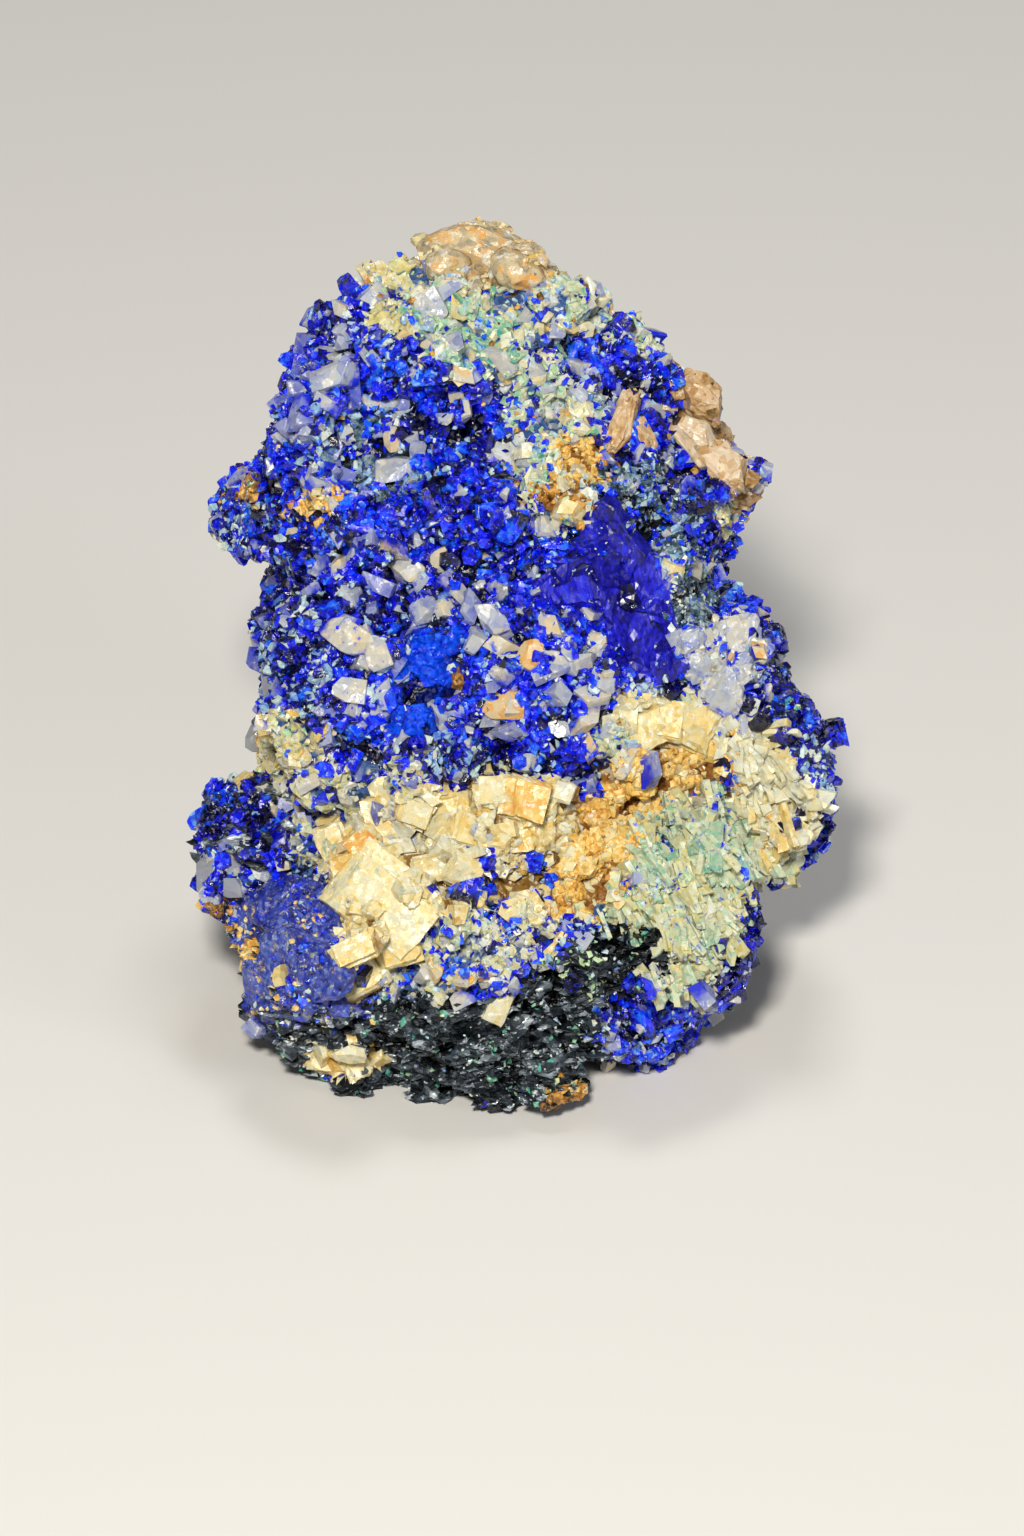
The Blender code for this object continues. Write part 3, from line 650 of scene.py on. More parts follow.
def break_skin(points, normals, strength, spacing, lean, reach, rng):
    """Moves each point onto the plane of its nearest facet, as far as its ground's strength allows."""
    sites = scattered_sites(points, spacing, rng)
    tree = KDTree(len(sites))
    for number, site in enumerate(sites):
        tree.insert(points[site], number)
    tree.balance()
    wander = np.stack([noise_at(points, spacing / MM * 0.7, 9 * step) for step in (1, 2, 3)], axis=1)
    nearest = np.array([tree.find(point)[1] for point in points + wander * spacing * 0.3])
    facing = normals[sites] + rng.normal(0, lean, (len(sites), 3))
    facing /= np.linalg.norm(facing, axis=1)[:, None]
    own = facing[nearest]
    slope = np.maximum(STEEPEST, (own * normals).sum(axis=1))
    shift = ((points[sites][nearest] - points) * own).sum(axis=1) / slope
    return points + normals * (np.clip(shift, -FALL * reach, CLIMB * reach) * strength)[:, None]


def flatten(points, chosen, most):
    """Presses the chosen points towards their common plane, each by no more than this."""
    if not chosen.any():
        return
    middle = points[chosen].mean(axis=0)
    facing = np.linalg.svd(points[chosen] - middle, full_matrices=False)[2][2]
    height = (points[chosen] - middle) @ facing
    points[chosen] -= np.clip(height * 0.85, -most, most)[:, None] * facing


def shape_skin(body, rng):
    """Breaks, flattens and furrows the skin. Returns its points, their normals and how deep each lies."""
    drawn, normals = mesh_points(body.data)
    ground = ground_of(drawn, normals, BORDER_JITTER, rng)
    names = list(RECIPES)
    strength = np.array([recipe[2] for recipe in RECIPES.values()])[ground]
    flatten(drawn, ground == names.index("blue face"), FACE_PRESS * MM)
    seen = to_photo(drawn)
    for across, down, radius, rise in SWELLS:
        away = ((seen - (across, down)) ** 2).sum(axis=1) / radius ** 2
        drawn = drawn + normals * (rise * MM * np.exp(-1.5 * away))[:, None]
    points = drawn.copy()
    for spacing, lean, reach in FACETS:
        points = break_skin(points, normals, strength, spacing * MM, lean, reach * MM, rng)
    swirl = noise_at(points, SWIRL, 14)
    across, _, height = points.T
    layers = height / MM - LAYER_SLOPE * across / MM + LAYER_BEND * swirl
    flutes = across / MM + FLUTE_SLOPE * height / MM + FLUTE_BEND * swirl
    furrow = np.zeros(len(points))
    for kinds, place, deep in ((LAYERED, layers, LAYER_DEPTH), (FLUTED, flutes, FLUTE_DEPTH)):
        chosen = np.isin(ground, [names.index(name) for name in kinds])
        wave = np.sin(math.tau * place / FURROW_PITCH)
        furrow = np.where(chosen, wave * deep * MM, furrow)
    points += normals * furrow[:, None]
    depth = ((drawn - points) * normals).sum(axis=1)
    standing = drawn[:, 2] < FOOT_HEIGHT * MM
    points -= normals * np.where(standing, 0, SKIN_DRAWN_IN)[:, None]
    points[:, 2] = np.where(standing, 0, np.maximum(points[:, 2], 0))
    move_points(body.data, points)
    return points, normals, depth


def thin_out(body, shaped, normals, depth):
    """Leaves flat parts of the skin fewer, larger faces. Returns each point's smooth normal and depth."""
    thin = body.modifiers.new("thin", "DECIMATE")
    thin.ratio = SKIN_FACES / (2 * len(body.data.polygons))
    applied(body)
    tree = KDTree(len(shaped))
    for number, point in enumerate(shaped):
        tree.insert(point, number)
    tree.balance()
    points = mesh_points(body.data)[0]
    points[:, 2] = np.maximum(points[:, 2], 0)
    move_points(body.data, points)
    nearest = np.array([tree.find(point)[1] for point in points])
    return normals[nearest], depth[nearest]


def dress_skin(body, normals, depth, materials, rng):
    """Gives each face its ground's mineral, and each point its tone. Deep places take the stain colour:
    painted shade where that colour is dark, and a real stain where it is blue.
    """
    recipes = list(RECIPES.values())
    minerals = sorted({recipe[0] for recipe in recipes})
    for name in minerals:
        body.data.materials.append(materials[name])
    slot = np.array([minerals.index(recipe[0]) for recipe in recipes])
    points = mesh_points(body.data)[0]
    ground = ground_of(points, normals, BORDER_JITTER, rng)
    body.data.polygons.foreach_set("material_index", slot[ground[first_corners(body.data)]].astype(np.int32))
    tone = np.array([recipe[1] for recipe in recipes])[ground]
    set_values(body.data, "tone", tone + SKIN_TONE * noise_at(points, SKIN_CLOUD, 8))
    # Painted shade that deepens into the skin's recesses, and a real stain where the colour is blue.
    set_values(body.data, "stain_and_shade", SKIN_STAIN_AND_SHADE + depth / (STAINED_AND_SHADED_DEPTH * MM))
    body.data.shade_flat()


def first_corners(mesh):
    """The first vertex of each face."""
    corner = np.empty(len(mesh.polygons), np.int32)
    mesh.polygons.foreach_get("loop_start", corner)
    vertex = np.empty(len(mesh.loops), np.int32)
    mesh.loops.foreach_get("vertex_index", vertex)
    return vertex[corner]


def set_values(mesh, name, values):
    layer = mesh.attributes.new(name, "FLOAT", "POINT")
    layer.data.foreach_set("value", np.clip(values, 0, 1).astype(np.float32))


def chop(bm, facing, distance):
    """Breaks off what lies past a plane, and closes the break with a flat face."""
    facing = Vector(facing).normalized()
    everything = bm.verts[:] + bm.edges[:] + bm.faces[:]
    cut = bmesh.ops.bisect_plane(
        bm, geom=everything, plane_co=facing * distance, plane_no=facing, clear_outer=True
    )
    rim = [item for item in cut["geom_cut"] if isinstance(item, bmesh.types.BMEdge)]
    if rim:
        bmesh.ops.contextual_create(bm, geom=rim)


def anywhere(rng):
    """A direction with no bias."""
    return Vector(rng.normal(0, 1, 3)).normalized()


def stretch(bm, sizes):
    bmesh.ops.scale(bm, vec=sizes, verts=bm.verts)


def lean_over(bm, rng, most):
    """Shears a block, as cleaved carbonate is."""
    slant = Matrix.Shear("XY", 4, (rng.uniform(-most, most), rng.uniform(-most, most)))
    bmesh.ops.transform(bm, matrix=slant, verts=bm.verts)


def break_edges(bm, width):
    """Breaks every edge to a narrow flat."""
    bmesh.ops.bevel(
        bm, geom=bm.edges[:], offset=width, offset_type="OFFSET", segments=1,
        profile=0.5, affect="EDGES", material=-1, clamp_overlap=True,
    )


def absorb(bm, part):
    """Adds another shape to this one, and frees it."""
    loose = bpy.data.meshes.new("loose")
    part.to_mesh(loose)
    part.free()
    bm.from_mesh(loose)
    bpy.data.meshes.remove(loose)


def refine(bm, cuts):
    """Cuts every face into small triangles."""
    bmesh.ops.triangulate(bm, faces=bm.faces[:])
    bmesh.ops.subdivide_edges(bm, edges=bm.edges[:], cuts=cuts, use_grid_fill=True)


def roughen(bm, rng, size, reach):
    """Pushes each point in or out by slow noise with swells of this size."""
    bm.normal_update()
    start = Vector(rng.uniform(0, 60, 3))
    moves = [vert.normal * reach * noise.noise(vert.co / size + start) for vert in bm.verts]
    for vert, move in zip(bm.verts, moves):
        vert.co += move


def azurite_crystal(bm, rng):
    """A short, thick, six-sided crystal with slanting ends."""
    bmesh.ops.create_cone(bm, cap_ends=True, segments=6, radius1=0.52, radius2=0.40, depth=1.1)
    stretch(bm, (rng.uniform(0.8, 1.1), rng.uniform(0.45, 0.9), rng.uniform(0.7, 1.1)))
    for _ in range(2):
        chop(bm, anywhere(rng) + Vector((0, 0, 0.6)), rng.uniform(0.24, 0.40))


def splinter(bm, rng, sides, length, flat):
    """An uneven prism that lies on its side, broken at both ends."""
    bmesh.ops.create_cone(bm, cap_ends=True, segments=sides, radius1=0.46, radius2=0.34, depth=length)
    stretch(bm, (flat, rng.uniform(0.8, 1.1), 1))
    for way in (1, -1):
        chop(bm, (rng.uniform(-0.9, 0.9), rng.uniform(-0.9, 0.9), way), rng.uniform(0.26, 0.36) * length)
    bmesh.ops.rotate(bm, verts=bm.verts, matrix=Matrix.Rotation(math.pi / 2, 3, "Y"))


def quartz_chip(bm, rng):
    """A splinter of vein quartz."""
    splinter(bm, rng, int(rng.integers(4, 7)), rng.uniform(1.0, 1.3), rng.uniform(0.5, 0.8))


def crust_crumb(bm, rng):
    """A flat angular chip of crust."""
    splinter(bm, rng, int(rng.integers(4, 6)), rng.uniform(0.9, 1.4), rng.uniform(0.35, 0.7))


def cream_block(bm, rng):
    """A cleaved plate with four to six uneven sides and a slanting top."""
    sides = int(rng.integers(4, 7))
    top = rng.uniform(0.40, 0.54)
    bmesh.ops.create_cone(bm, cap_ends=True, segments=sides, radius1=0.56, radius2=top, depth=0.7)
    lean_over(bm, rng, 0.3)
    stretch(bm, (rng.uniform(0.9, 1.2), rng.uniform(0.6, 1.0), rng.uniform(0.6, 1.0)))
    chop(bm, (rng.uniform(-0.5, 0.5), rng.uniform(-0.5, 0.5), 1), rng.uniform(0.16, 0.28))
    chop(bm, anywhere(rng), rng.uniform(0.36, 0.48))


def stacked_block(bm, rng):
    """Three cleaved plates stuck together out of line, so that their edges make steps."""
    for step in range(3):
        plate = bmesh.new()
        cream_block(plate, rng)
        stretch(plate, (0.95, 0.95, 0.55))
        slide = Vector((rng.uniform(-0.16, 0.16), rng.uniform(-0.16, 0.16), 0.22 * (step - 1)))
        bmesh.ops.translate(plate, vec=slide, verts=plate.verts)
        absorb(bm, plate)


def ochre_lump(bm, rng):
    """A lump of iron-stained crust."""
    bmesh.ops.create_icosphere(bm, subdivisions=1, radius=0.55)
    for vert in bm.verts:
        vert.co *= rng.uniform(0.6, 1.15)


def blade(bm, rng):
    """A long thin blade with a slanting end."""
    bmesh.ops.create_cube(bm, size=1)
    lean_over(bm, rng, 0.12)
    stretch(bm, (rng.uniform(0.20, 0.36), rng.uniform(0.10, 0.18), 1.05))
    chop(bm, (rng.uniform(-0.9, 0.9), rng.uniform(-0.3, 0.3), 1), 0.40)
    chop(bm, (rng.uniform(0.8, 1.6), 0.4, 1), 0.34)


def flake(bm, rng):
    """A thin ragged flake that lies flat, longer than wide and a little wavy."""
    bmesh.ops.create_cone(bm, cap_ends=True, segments=8, radius1=0.55, radius2=0.42, depth=0.16)
    for vert in bm.verts:
        vert.co.x *= rng.uniform(0.9, 1.4)
        vert.co.y *= rng.uniform(0.40, 0.70)
        vert.co.z += 0.12 * math.sin(vert.co.x * 6 + vert.co.y * 4)


SHAPES = {
    "azurite": azurite_crystal,
    "quartz": quartz_chip,
    "crust": crust_crumb,
    "cream": cream_block,
    "stack": stacked_block,
    "ochre": ochre_lump,
    "tan": cream_block,
    "malachite": crust_crumb,
    "fan blade": blade,
    "column": blade,
    "ore flake": flake,
    "slate flake": flake,
}

# The finish in the record that each mineral belongs to.
SLOTS = {
    "azurite": "azurite",
    "plate": "azurite",
    "worn azurite": "azurite",
    "azure": "azurite",
    "quartz": "quartz",
    "clear quartz": "quartz",
    "cap": "quartz",
    "crust": "gangue",
    "cream": "gangue",
    "mixed": "gangue",
    "slate": "gangue",
    "ochre": "ochre",
    "tan rock": "ochre",
    "malachite": "malachite",
    "ore": "ore",
}

# The mineral of each kind of grain, and the piece that it is joined into.
PIECES = {
    "azurite": ("azurite", "azurite_crystals"),
    "quartz": ("quartz", "quartz_grains"),
    "crust": ("crust", "pale_crust"),
    "cream": ("cream", "cream_blocks"),
    "stack": ("cream", "stepped_blocks"),
    "ochre": ("ochre", "ochre_crumbs"),
    "tan": ("tan rock", "tan_chips"),
    "malachite": ("malachite", "malachite_crust"),
    "fan blade": ("cream", "cream_fan"),
    "column": ("mixed", "cream_columns"),
    "ore flake": ("ore", "ore_flakes"),
    "slate flake": ("slate", "slate_flakes"),
}


def shape_arrays(make, rng):
    """One shape as plain arrays: its points, its faces' corners, and where each face's corners start."""
    bm = bmesh.new()
    make(bm, rng)
    bmesh.ops.recalc_face_normals(bm, faces=bm.faces)
    bm.verts.index_update()
    points = np.array([vert.co for vert in bm.verts])
    faces = [[vert.index for vert in face.verts] for face in bm.faces]
    bm.free()
    starts = np.cumsum([0] + [len(face) for face in faces])[:-1]
    return points, np.concatenate(faces), starts


def joined(name, shapes, choice, turns, grains, material):
    """One mesh of many grains: each is one of the shapes, turned, sized in metres and put in its place.

    A grain that would pass through the floor is lifted onto it. What it grows from sets how much stain colour
    its foot
    takes: painted shade where that colour is dark, and a real stain where it is blue.
    """
    points, corners, starts, tone, stain_and_shade = [], [], [], [], []
    point_count, corner_count = 0, 0
    for number, (own, own_corners, own_starts) in enumerate(shapes):
        picked = np.flatnonzero(choice == number)
        if not len(picked):
            continue
        grown = np.einsum("nij,pj->npi", turns[picked], own)
        height = np.einsum("npi,ni->np", grown, grains["normal"][picked])
        # Painted shade at each grain's foot, fading up its height; a real stain where the colour is blue.
        stained_and_shaded = np.clip(FOOT_STAIN_AND_SHADE - FOOT_FADE * height, 0, 1) * grains["stain_and_shade"][picked][:, None]
        stain_and_shade.append(stained_and_shaded.ravel())
        grown = grown * grains["size"][picked][:, None, None] + grains["place"][picked][:, None, :]
        grown[:, :, 2] += np.maximum(0, -grown[:, :, 2].min(axis=1))[:, None]
        points.append(grown.reshape(-1, 3))
        steps = np.arange(len(picked))[:, None]
        corners.append((own_corners[None, :] + point_count + steps * len(own)).ravel())
        starts.append((own_starts[None, :] + corner_count + steps * len(own_corners)).ravel())
        tone.append(np.repeat(grains["tone"][picked], len(own)))
        point_count += len(picked) * len(own)
        corner_count += len(picked) * len(own_corners)
    points, corners = np.concatenate(points), np.concatenate(corners)
    starts, tone = np.concatenate(starts), np.concatenate(tone)
    mesh = bpy.data.meshes.new(name)
    mesh.vertices.add(len(points))
    mesh.loops.add(len(corners))
    mesh.polygons.add(len(starts))
    mesh.vertices.foreach_set("co", points.astype(np.float32).ravel())
    mesh.loops.foreach_set("vertex_index", corners.astype(np.int32))
    mesh.polygons.foreach_set("loop_start", starts.astype(np.int32))
    mesh.update(calc_edges=True)
    mesh.validate()
    mesh.shade_flat()
    set_values(mesh, "tone", tone)
    set_values(mesh, "stain_and_shade", np.concatenate(stain_and_shade))
    mesh.materials.append(material)
    return link(bpy.data.objects.new(name, mesh))


def directions(kind, places, normals):
    """The way each grain of a kind points."""
    if kind == "ore flake":
        return np.tile(np.array(LEVEL), (len(places), 1))
    if kind == "column":
        return normals * COLUMN_OUT + np.array(COLUMN_RUN)
    if kind == "fan blade":
        spread = to_photo(places) - np.array(FAN_ROOT)
        spread /= np.linalg.norm(spread, axis=1)[:, None] + 1e-9
        return normals * FAN_OUT + spread[:, :1] * np.array(RIGHT) - spread[:, 1:] * np.array(UP)
    return normals


def stand_up(ways, level, rng):
    """Turns that take +Z to each way, with a free spin about it, or with +X kept near the world's."""
    ways = ways / np.linalg.norm(ways, axis=1)[:, None]
    helper = rng.normal(0, 1, ways.shape)
    if level:
        helper = helper * 0.4 + np.array((0, 1.0, 0))
    side = np.cross(helper, ways)
    side /= np.linalg.norm(side, axis=1)[:, None]
    return np.stack([side, np.cross(ways, side), ways], axis=2)


def spread_out(places, sizes, share):
    """Leaves out the grains that would stand within this share of a larger one's size."""
    order = np.argsort(-sizes)
    cell = 2.0 * MM
    taken = {}
    kept = []
    for index in order:
        place, size = places[index], sizes[index]
        home = tuple(np.floor(place / cell).astype(int))
        near = [
            other
            for x in (-1, 0, 1)
            for y in (-1, 0, 1)
            for z in (-1, 0, 1)
            for other in taken.get((home[0] + x, home[1] + y, home[2] + z), ())
        ]
        if all(((place - where) ** 2).sum() > (share * reach) ** 2 for where, reach in near):
            taken.setdefault(home, []).append((place, size))
            kept.append(index)
    return np.array(kept, int)


def scatter(body, smooth, rng):
    """Picks a place for every grain: for each kind, arrays of place, normal, size, tone, and how much stain
    and painted shade its foot takes.
    """
    mesh = body.data
    area = np.empty(len(mesh.polygons))
    mesh.polygons.foreach_get("area", area)
    middle = np.empty(len(mesh.polygons) * 3)
    mesh.polygons.foreach_get("center", middle)
    middle = middle.reshape(-1, 3)
    face_normal = smooth[first_corners(mesh)]
    face_ground = ground_of(middle, face_normal, GRAIN_JITTER, rng)
    drift = {name: noise_at(middle, CLUMP, 60 + 7 * step) for step, name in enumerate(("pale", "dark"))}
    cloud = noise_at(middle, CLOUD, 90)
    crowd = {name: np.clip(CLUMP_LEVEL + CLUMP_SWING * level, *CLUMP_LIMITS) for name, level in drift.items()}
    clumps = {kind: crowd["pale" if kind in PALE_KINDS else "dark"] for kind in SHAPES}
    crop = {kind: [] for kind in SHAPES}
    for number, recipe in enumerate(RECIPES.values()):
        faces = np.flatnonzero(face_ground == number)
        if not len(faces):
            continue
        cover = area[faces].sum() * 1e4
        for kind, density, smallest, largest, tone in recipe[3]:
            weight = area[faces] * clumps[kind][faces]
            count = rng.poisson(density * cover)
            picked = rng.choice(faces, count, p=weight / weight.sum())
            spread = TONE_SPREAD.get(kind, OTHER_SPREAD)
            crop[kind].append({
                "place": middle[picked] + rng.uniform(-0.5, 0.5, (count, 3)) * SKIN_CELL,
                "normal": face_normal[picked],
                "size": (smallest + (largest - smallest) * rng.random(count) ** 1.4) * MM,
                "tone": tone + CLOUD_TONE * cloud[picked] + rng.normal(0, spread, count),
                "stain_and_shade": np.full(count, STAIN_AND_SHADE_FROM.get(recipe[0], 0.4)),
            })
    return {
        kind: {key: np.concatenate([batch[key] for batch in batches]) for key in batches[0]}
        for kind, batches in crop.items() if batches
    }


def sow(body, smooth, materials, rng):
    """Sets every recipe's grains into the skin, and joins those of a kind into pieces."""
    pieces = []
    for kind, grains in scatter(body, smooth, rng).items():
        name_of_mineral, name = PIECES[kind]
        large = np.flatnonzero(grains["size"] > THINNED_FROM * MM)
        small = np.flatnonzero(grains["size"] <= THINNED_FROM * MM)
        apart = spread_out(grains["place"][large], grains["size"][large], CROWDED.get(kind, CROWDING))
        kept = np.concatenate([large[apart], small])
        grains = {key: values[kept] for key, values in grains.items()}
        lean, sink = STANCES[kind]
        ways = directions(kind, grains["place"], grains["normal"])
        ways = ways / np.linalg.norm(ways, axis=1)[:, None] + rng.normal(0, lean, ways.shape)
        grains["place"] = grains["place"] - grains["normal"] * (sink * grains["size"])[:, None]
        shapes = [shape_arrays(SHAPES[kind], rng) for _ in range(VARIANTS)]
        choice = rng.integers(0, VARIANTS, len(kept))
        turns = stand_up(ways, kind == "ore flake", rng)
        faces = np.array([len(corners) - 2 * len(starts) for _, corners, starts in shapes])
        shares = int(faces[choice].sum() / PIECE_LIMIT) + 1
        for turn in range(shares):
            own = np.arange(turn, len(kept), shares)
            piece_name = name if shares == 1 else "%s_%d" % (name, turn + 1)
            part = {key: values[own] for key, values in grains.items()}
            material = materials[name_of_mineral]
            piece = joined(piece_name, shapes, choice[own], turns[own], part, material)
            pieces.append((piece, SLOTS[name_of_mineral]))
    return pieces


def milky_lump(bm, rng):
    """A stout splinter of milky quartz with broken sides."""
    bmesh.ops.create_cube(bm, size=0.96)
    lean_over(bm, rng, 0.3)
    for _ in range(9):
        chop(bm, anywhere(rng), rng.uniform(0.38, 0.52))
    break_edges(bm, 0.03)


def cap_lump(bm, rng):
    """A broad low lump with many shallow broken faces."""
    bmesh.ops.create_icosphere(bm, subdivisions=3, radius=0.56)
    for _ in range(26):
        chop(bm, anywhere(rng), rng.uniform(0.44, 0.53))
    refine(bm, 1)
    roughen(bm, rng, 0.30, 0.05)


def rough_rock(bm, rng):
    """A rough piece of rock, knobbly, with a few flat breaks."""
    bmesh.ops.create_icosphere(bm, subdivisions=4, radius=0.52)
    roughen(bm, rng, 0.50, 0.20)
    roughen(bm, rng, 0.16, 0.14)
    for _ in range(13):
        chop(bm, anywhere(rng), rng.uniform(0.32, 0.46))
    refine(bm, 1)
    roughen(bm, rng, 0.10, 0.05)


def great_block(bm, rng):
    """A large cleaved block: wavy plates stuck together out of line, with corners broken off."""
    for step in range(5):
        plate = bmesh.new()
        bmesh.ops.create_cube(plate, size=0.86)
        lean_over(plate, rng, 0.25)
        for _ in range(4):
            chop(plate, anywhere(rng), rng.uniform(0.40, 0.56))
        refine(plate, 3)
        roughen(plate, rng, 0.22, 0.05)
        stretch(plate, (1, 1, 0.34))
        slide = Vector((rng.uniform(-0.11, 0.11), rng.uniform(-0.11, 0.11), 0.17 * (step - 2)))
        bmesh.ops.translate(plate, vec=slide, verts=plate.verts)
        absorb(bm, plate)


LARGE = {
    "milky": (milky_lump, "quartz"),
    "lump": (rough_rock, "quartz"),
    "cap": (cap_lump, "cap"),
    "block": (great_block, "cream"),
    "clear": (milky_lump, "clear quartz"),
    "iron": (rough_rock, "ochre"),
    "tan": (rough_rock, "tan rock"),
    "metal": (milky_lump, "ore"),
}


def finished(name, bm, tone, stain_and_shade, kind, materials):
    """A piece of one mineral from a shape, with the slot that it belongs to."""
    mesh = bpy.data.meshes.new(name)
    bm.to_mesh(mesh)
    bm.free()
    set_values(mesh, "tone", np.array(tone))
    set_values(mesh, "stain_and_shade", np.array(stain_and_shade))
    mesh.shade_flat()
    mesh.materials.append(materials[kind])
    return link(bpy.data.objects.new(name, mesh)), SLOTS[kind]


def set_landmark(kind, landmark, tree, rng):
    """One large crystal or block, cast onto the skin from the camera, with its points' tones and the stain
    colour at its foot:
    painted shade where it meets the skin and that colour is dark, and a real stain where it is blue.
    """
    across, down, wide, high, deep, turn, tone = landmark
    hit, normal, _, _ = tree.ray_cast(CAMERA, photo_ray(across, down))
    if hit is None:
        return None
    facing = (normal * 0.5 + TOWARDS_CAMERA).normalized()
    angle = math.radians(turn)
    side = RIGHT * math.cos(angle) + UP * math.sin(angle)
    side = (side - facing * side.dot(facing)).normalized()
    own = bmesh.new()
    LARGE[kind][0](own, rng)
    stretch(own, (wide * MM, high * MM, deep * MM))
    # Painted shade at the foot, fading up the crystal's depth; a real stain where the colour is blue.
    stains_and_shades = [LARGE_SHARE * (LARGE_STAIN_AND_SHADE - LARGE_FADE * vert.co.z / (deep * MM)) for vert in own.verts]
    turned = Matrix((side, facing.cross(side), facing)).transposed().to_4x4()
    moved = Matrix.Translation(hit - facing * deep * LARGE_SINK * MM) @ turned
    bmesh.ops.transform(own, matrix=moved, verts=own.verts)
    bmesh.ops.recalc_face_normals(own, faces=own.faces)
    return own, [tone] * len(stains_and_shades), stains_and_shades


def set_landmarks(tree, materials, rng):
    """The crystals and blocks that can be told apart in the photo, joined by kind."""
    grown = {}
    for kind, landmarks in LANDMARKS.items():
        bm, tones, stains_and_shades = bmesh.new(), [], []
        for landmark in landmarks:
            placed = set_landmark(kind, landmark, tree, rng)
            if placed:
                absorb(bm, placed[0])
                tones += placed[1]
                stains_and_shades += placed[2]
        grown[kind] = bm, tones, stains_and_shades
    return [finished("large_" + kind, *grown[kind], LARGE[kind][1], materials) for kind in LARGE]


def lay_slab(tree, outline, thick, waviness, rng):
    """A slab with this outline on the photo, in the common plane of the skin that lies behind it."""
    bm = bmesh.new()
    middle = np.mean(outline, axis=0)
    hits = []
    for corner in outline:
        for share in (0.3, 0.75):
            hit = tree.ray_cast(CAMERA, photo_ray(*(middle + share * (np.array(corner) - middle))))[0]
            if hit is not None:
                hits.append(hit)
    centre = Vector(np.mean(hits, axis=0))
    facing = Vector(np.linalg.svd(np.array(hits) - np.array(centre), full_matrices=False)[2][2])
    if facing.dot(TOWARDS_CAMERA) < 0:
        facing.negate()
    facing = (facing + TOWARDS_CAMERA * SLAB_LEAN).normalized()
    top = centre + facing * SLAB_RISE * MM
    corners = []
    for corner in outline:
        way = photo_ray(*corner)
        corners.append(bm.verts.new(CAMERA + way * ((top - CAMERA).dot(facing) / way.dot(facing))))
    face = bm.faces.new(corners)
    face.normal_update()
    if face.normal.dot(facing) < 0:
        face.normal_flip()
    bmesh.ops.solidify(bm, geom=[face], thickness=thick * MM)
    break_edges(bm, SLAB_EDGE * MM)
    refine(bm, SLAB_CUTS)
    roughen(bm, rng, 1.6 * MM, waviness * MM)
    roughen(bm, rng, 0.6 * MM, 0.4 * waviness * MM)
    bmesh.ops.recalc_face_normals(bm, faces=bm.faces)
    return bm


def lay_slabs(tree, materials, rng):
    pieces = []
    for number, (kind, tone, thick, waviness, outline) in enumerate(SLABS):
        bm = lay_slab(tree, corners_of(outline), thick, waviness, rng)
        count = len(bm.verts)
        pieces.append(finished("slab_%d" % (number + 1), bm, [tone] * count, [0] * count, kind, materials))
    return pieces


def linear(hex_colour):
    """An sRGB hex colour as linear red, green, blue and alpha."""
    parts = [int(hex_colour[i:i + 2], 16) / 255 for i in (1, 3, 5)]
    return [p / 12.92 if p <= 0.04045 else ((p + 0.055) / 1.055) ** 2.4 for p in parts] + [1]


def add_node(tree, kind, settings=None, links=None):
    """Adds a node, sets its properties and sockets, and links its inputs to other nodes' outputs."""
    made = tree.nodes.new(kind)
    for name, value in (settings or {}).items():
        if isinstance(name, int) or name in made.inputs:
            made.inputs[name].default_value = value
        else:
            setattr(made, name, value)
    for name, output in (links or {}).items():
        tree.links.new(output, made.inputs[name])
    return made


def dusted(tree, where, base, colour, mm, level):
    """Another mineral's dust over a colour, where its noise passes the level."""
    speckle = add_node(
        tree, "ShaderNodeTexNoise", {**DUST_NOISE, "Scale": 1 / (mm * MM)}, {"Vector": where}
    ).outputs["Fac"]
    cover = add_node(
        tree, "ShaderNodeMapRange", {"From Min": level, "From Max": level + DUST_EDGE}, {"Value": speckle}
    ).outputs[0]
    settings = {"data_type": "RGBA", 7: linear(colour)}
    return add_node(tree, "ShaderNodeMix", settings, {0: cover, 6: base}).outputs[2]


def small_facets(tree, where, mm, tilt):
    """Flat facets this many mm wide: each one's own level from 0 to 1, and the normals that it leans to."""
    voronoi = add_node(tree, "ShaderNodeTexVoronoi", {"Scale": 1 / (mm * MM)}, {"Vector": where})
    cells = voronoi.outputs["Color"]
    level = add_node(tree, "ShaderNodeSeparateColor", None, {"Color": cells}).outputs[0]
    centred = add_node(
        tree, "ShaderNodeVectorMath", {"operation": "SUBTRACT", 1: (0.5, 0.5, 0.5)}, {0: cells}
    ).outputs[0]
    face = add_node(tree, "ShaderNodeNewGeometry").outputs["Normal"]
    settings = {"operation": "MULTIPLY_ADD", 1: (tilt, tilt, tilt)}
    leaning = add_node(tree, "ShaderNodeVectorMath", settings, {0: centred, 2: face}).outputs[0]
    return level, add_node(tree, "ShaderNodeVectorMath", {"operation": "NORMALIZE"}, {0: leaning}).outputs[0]


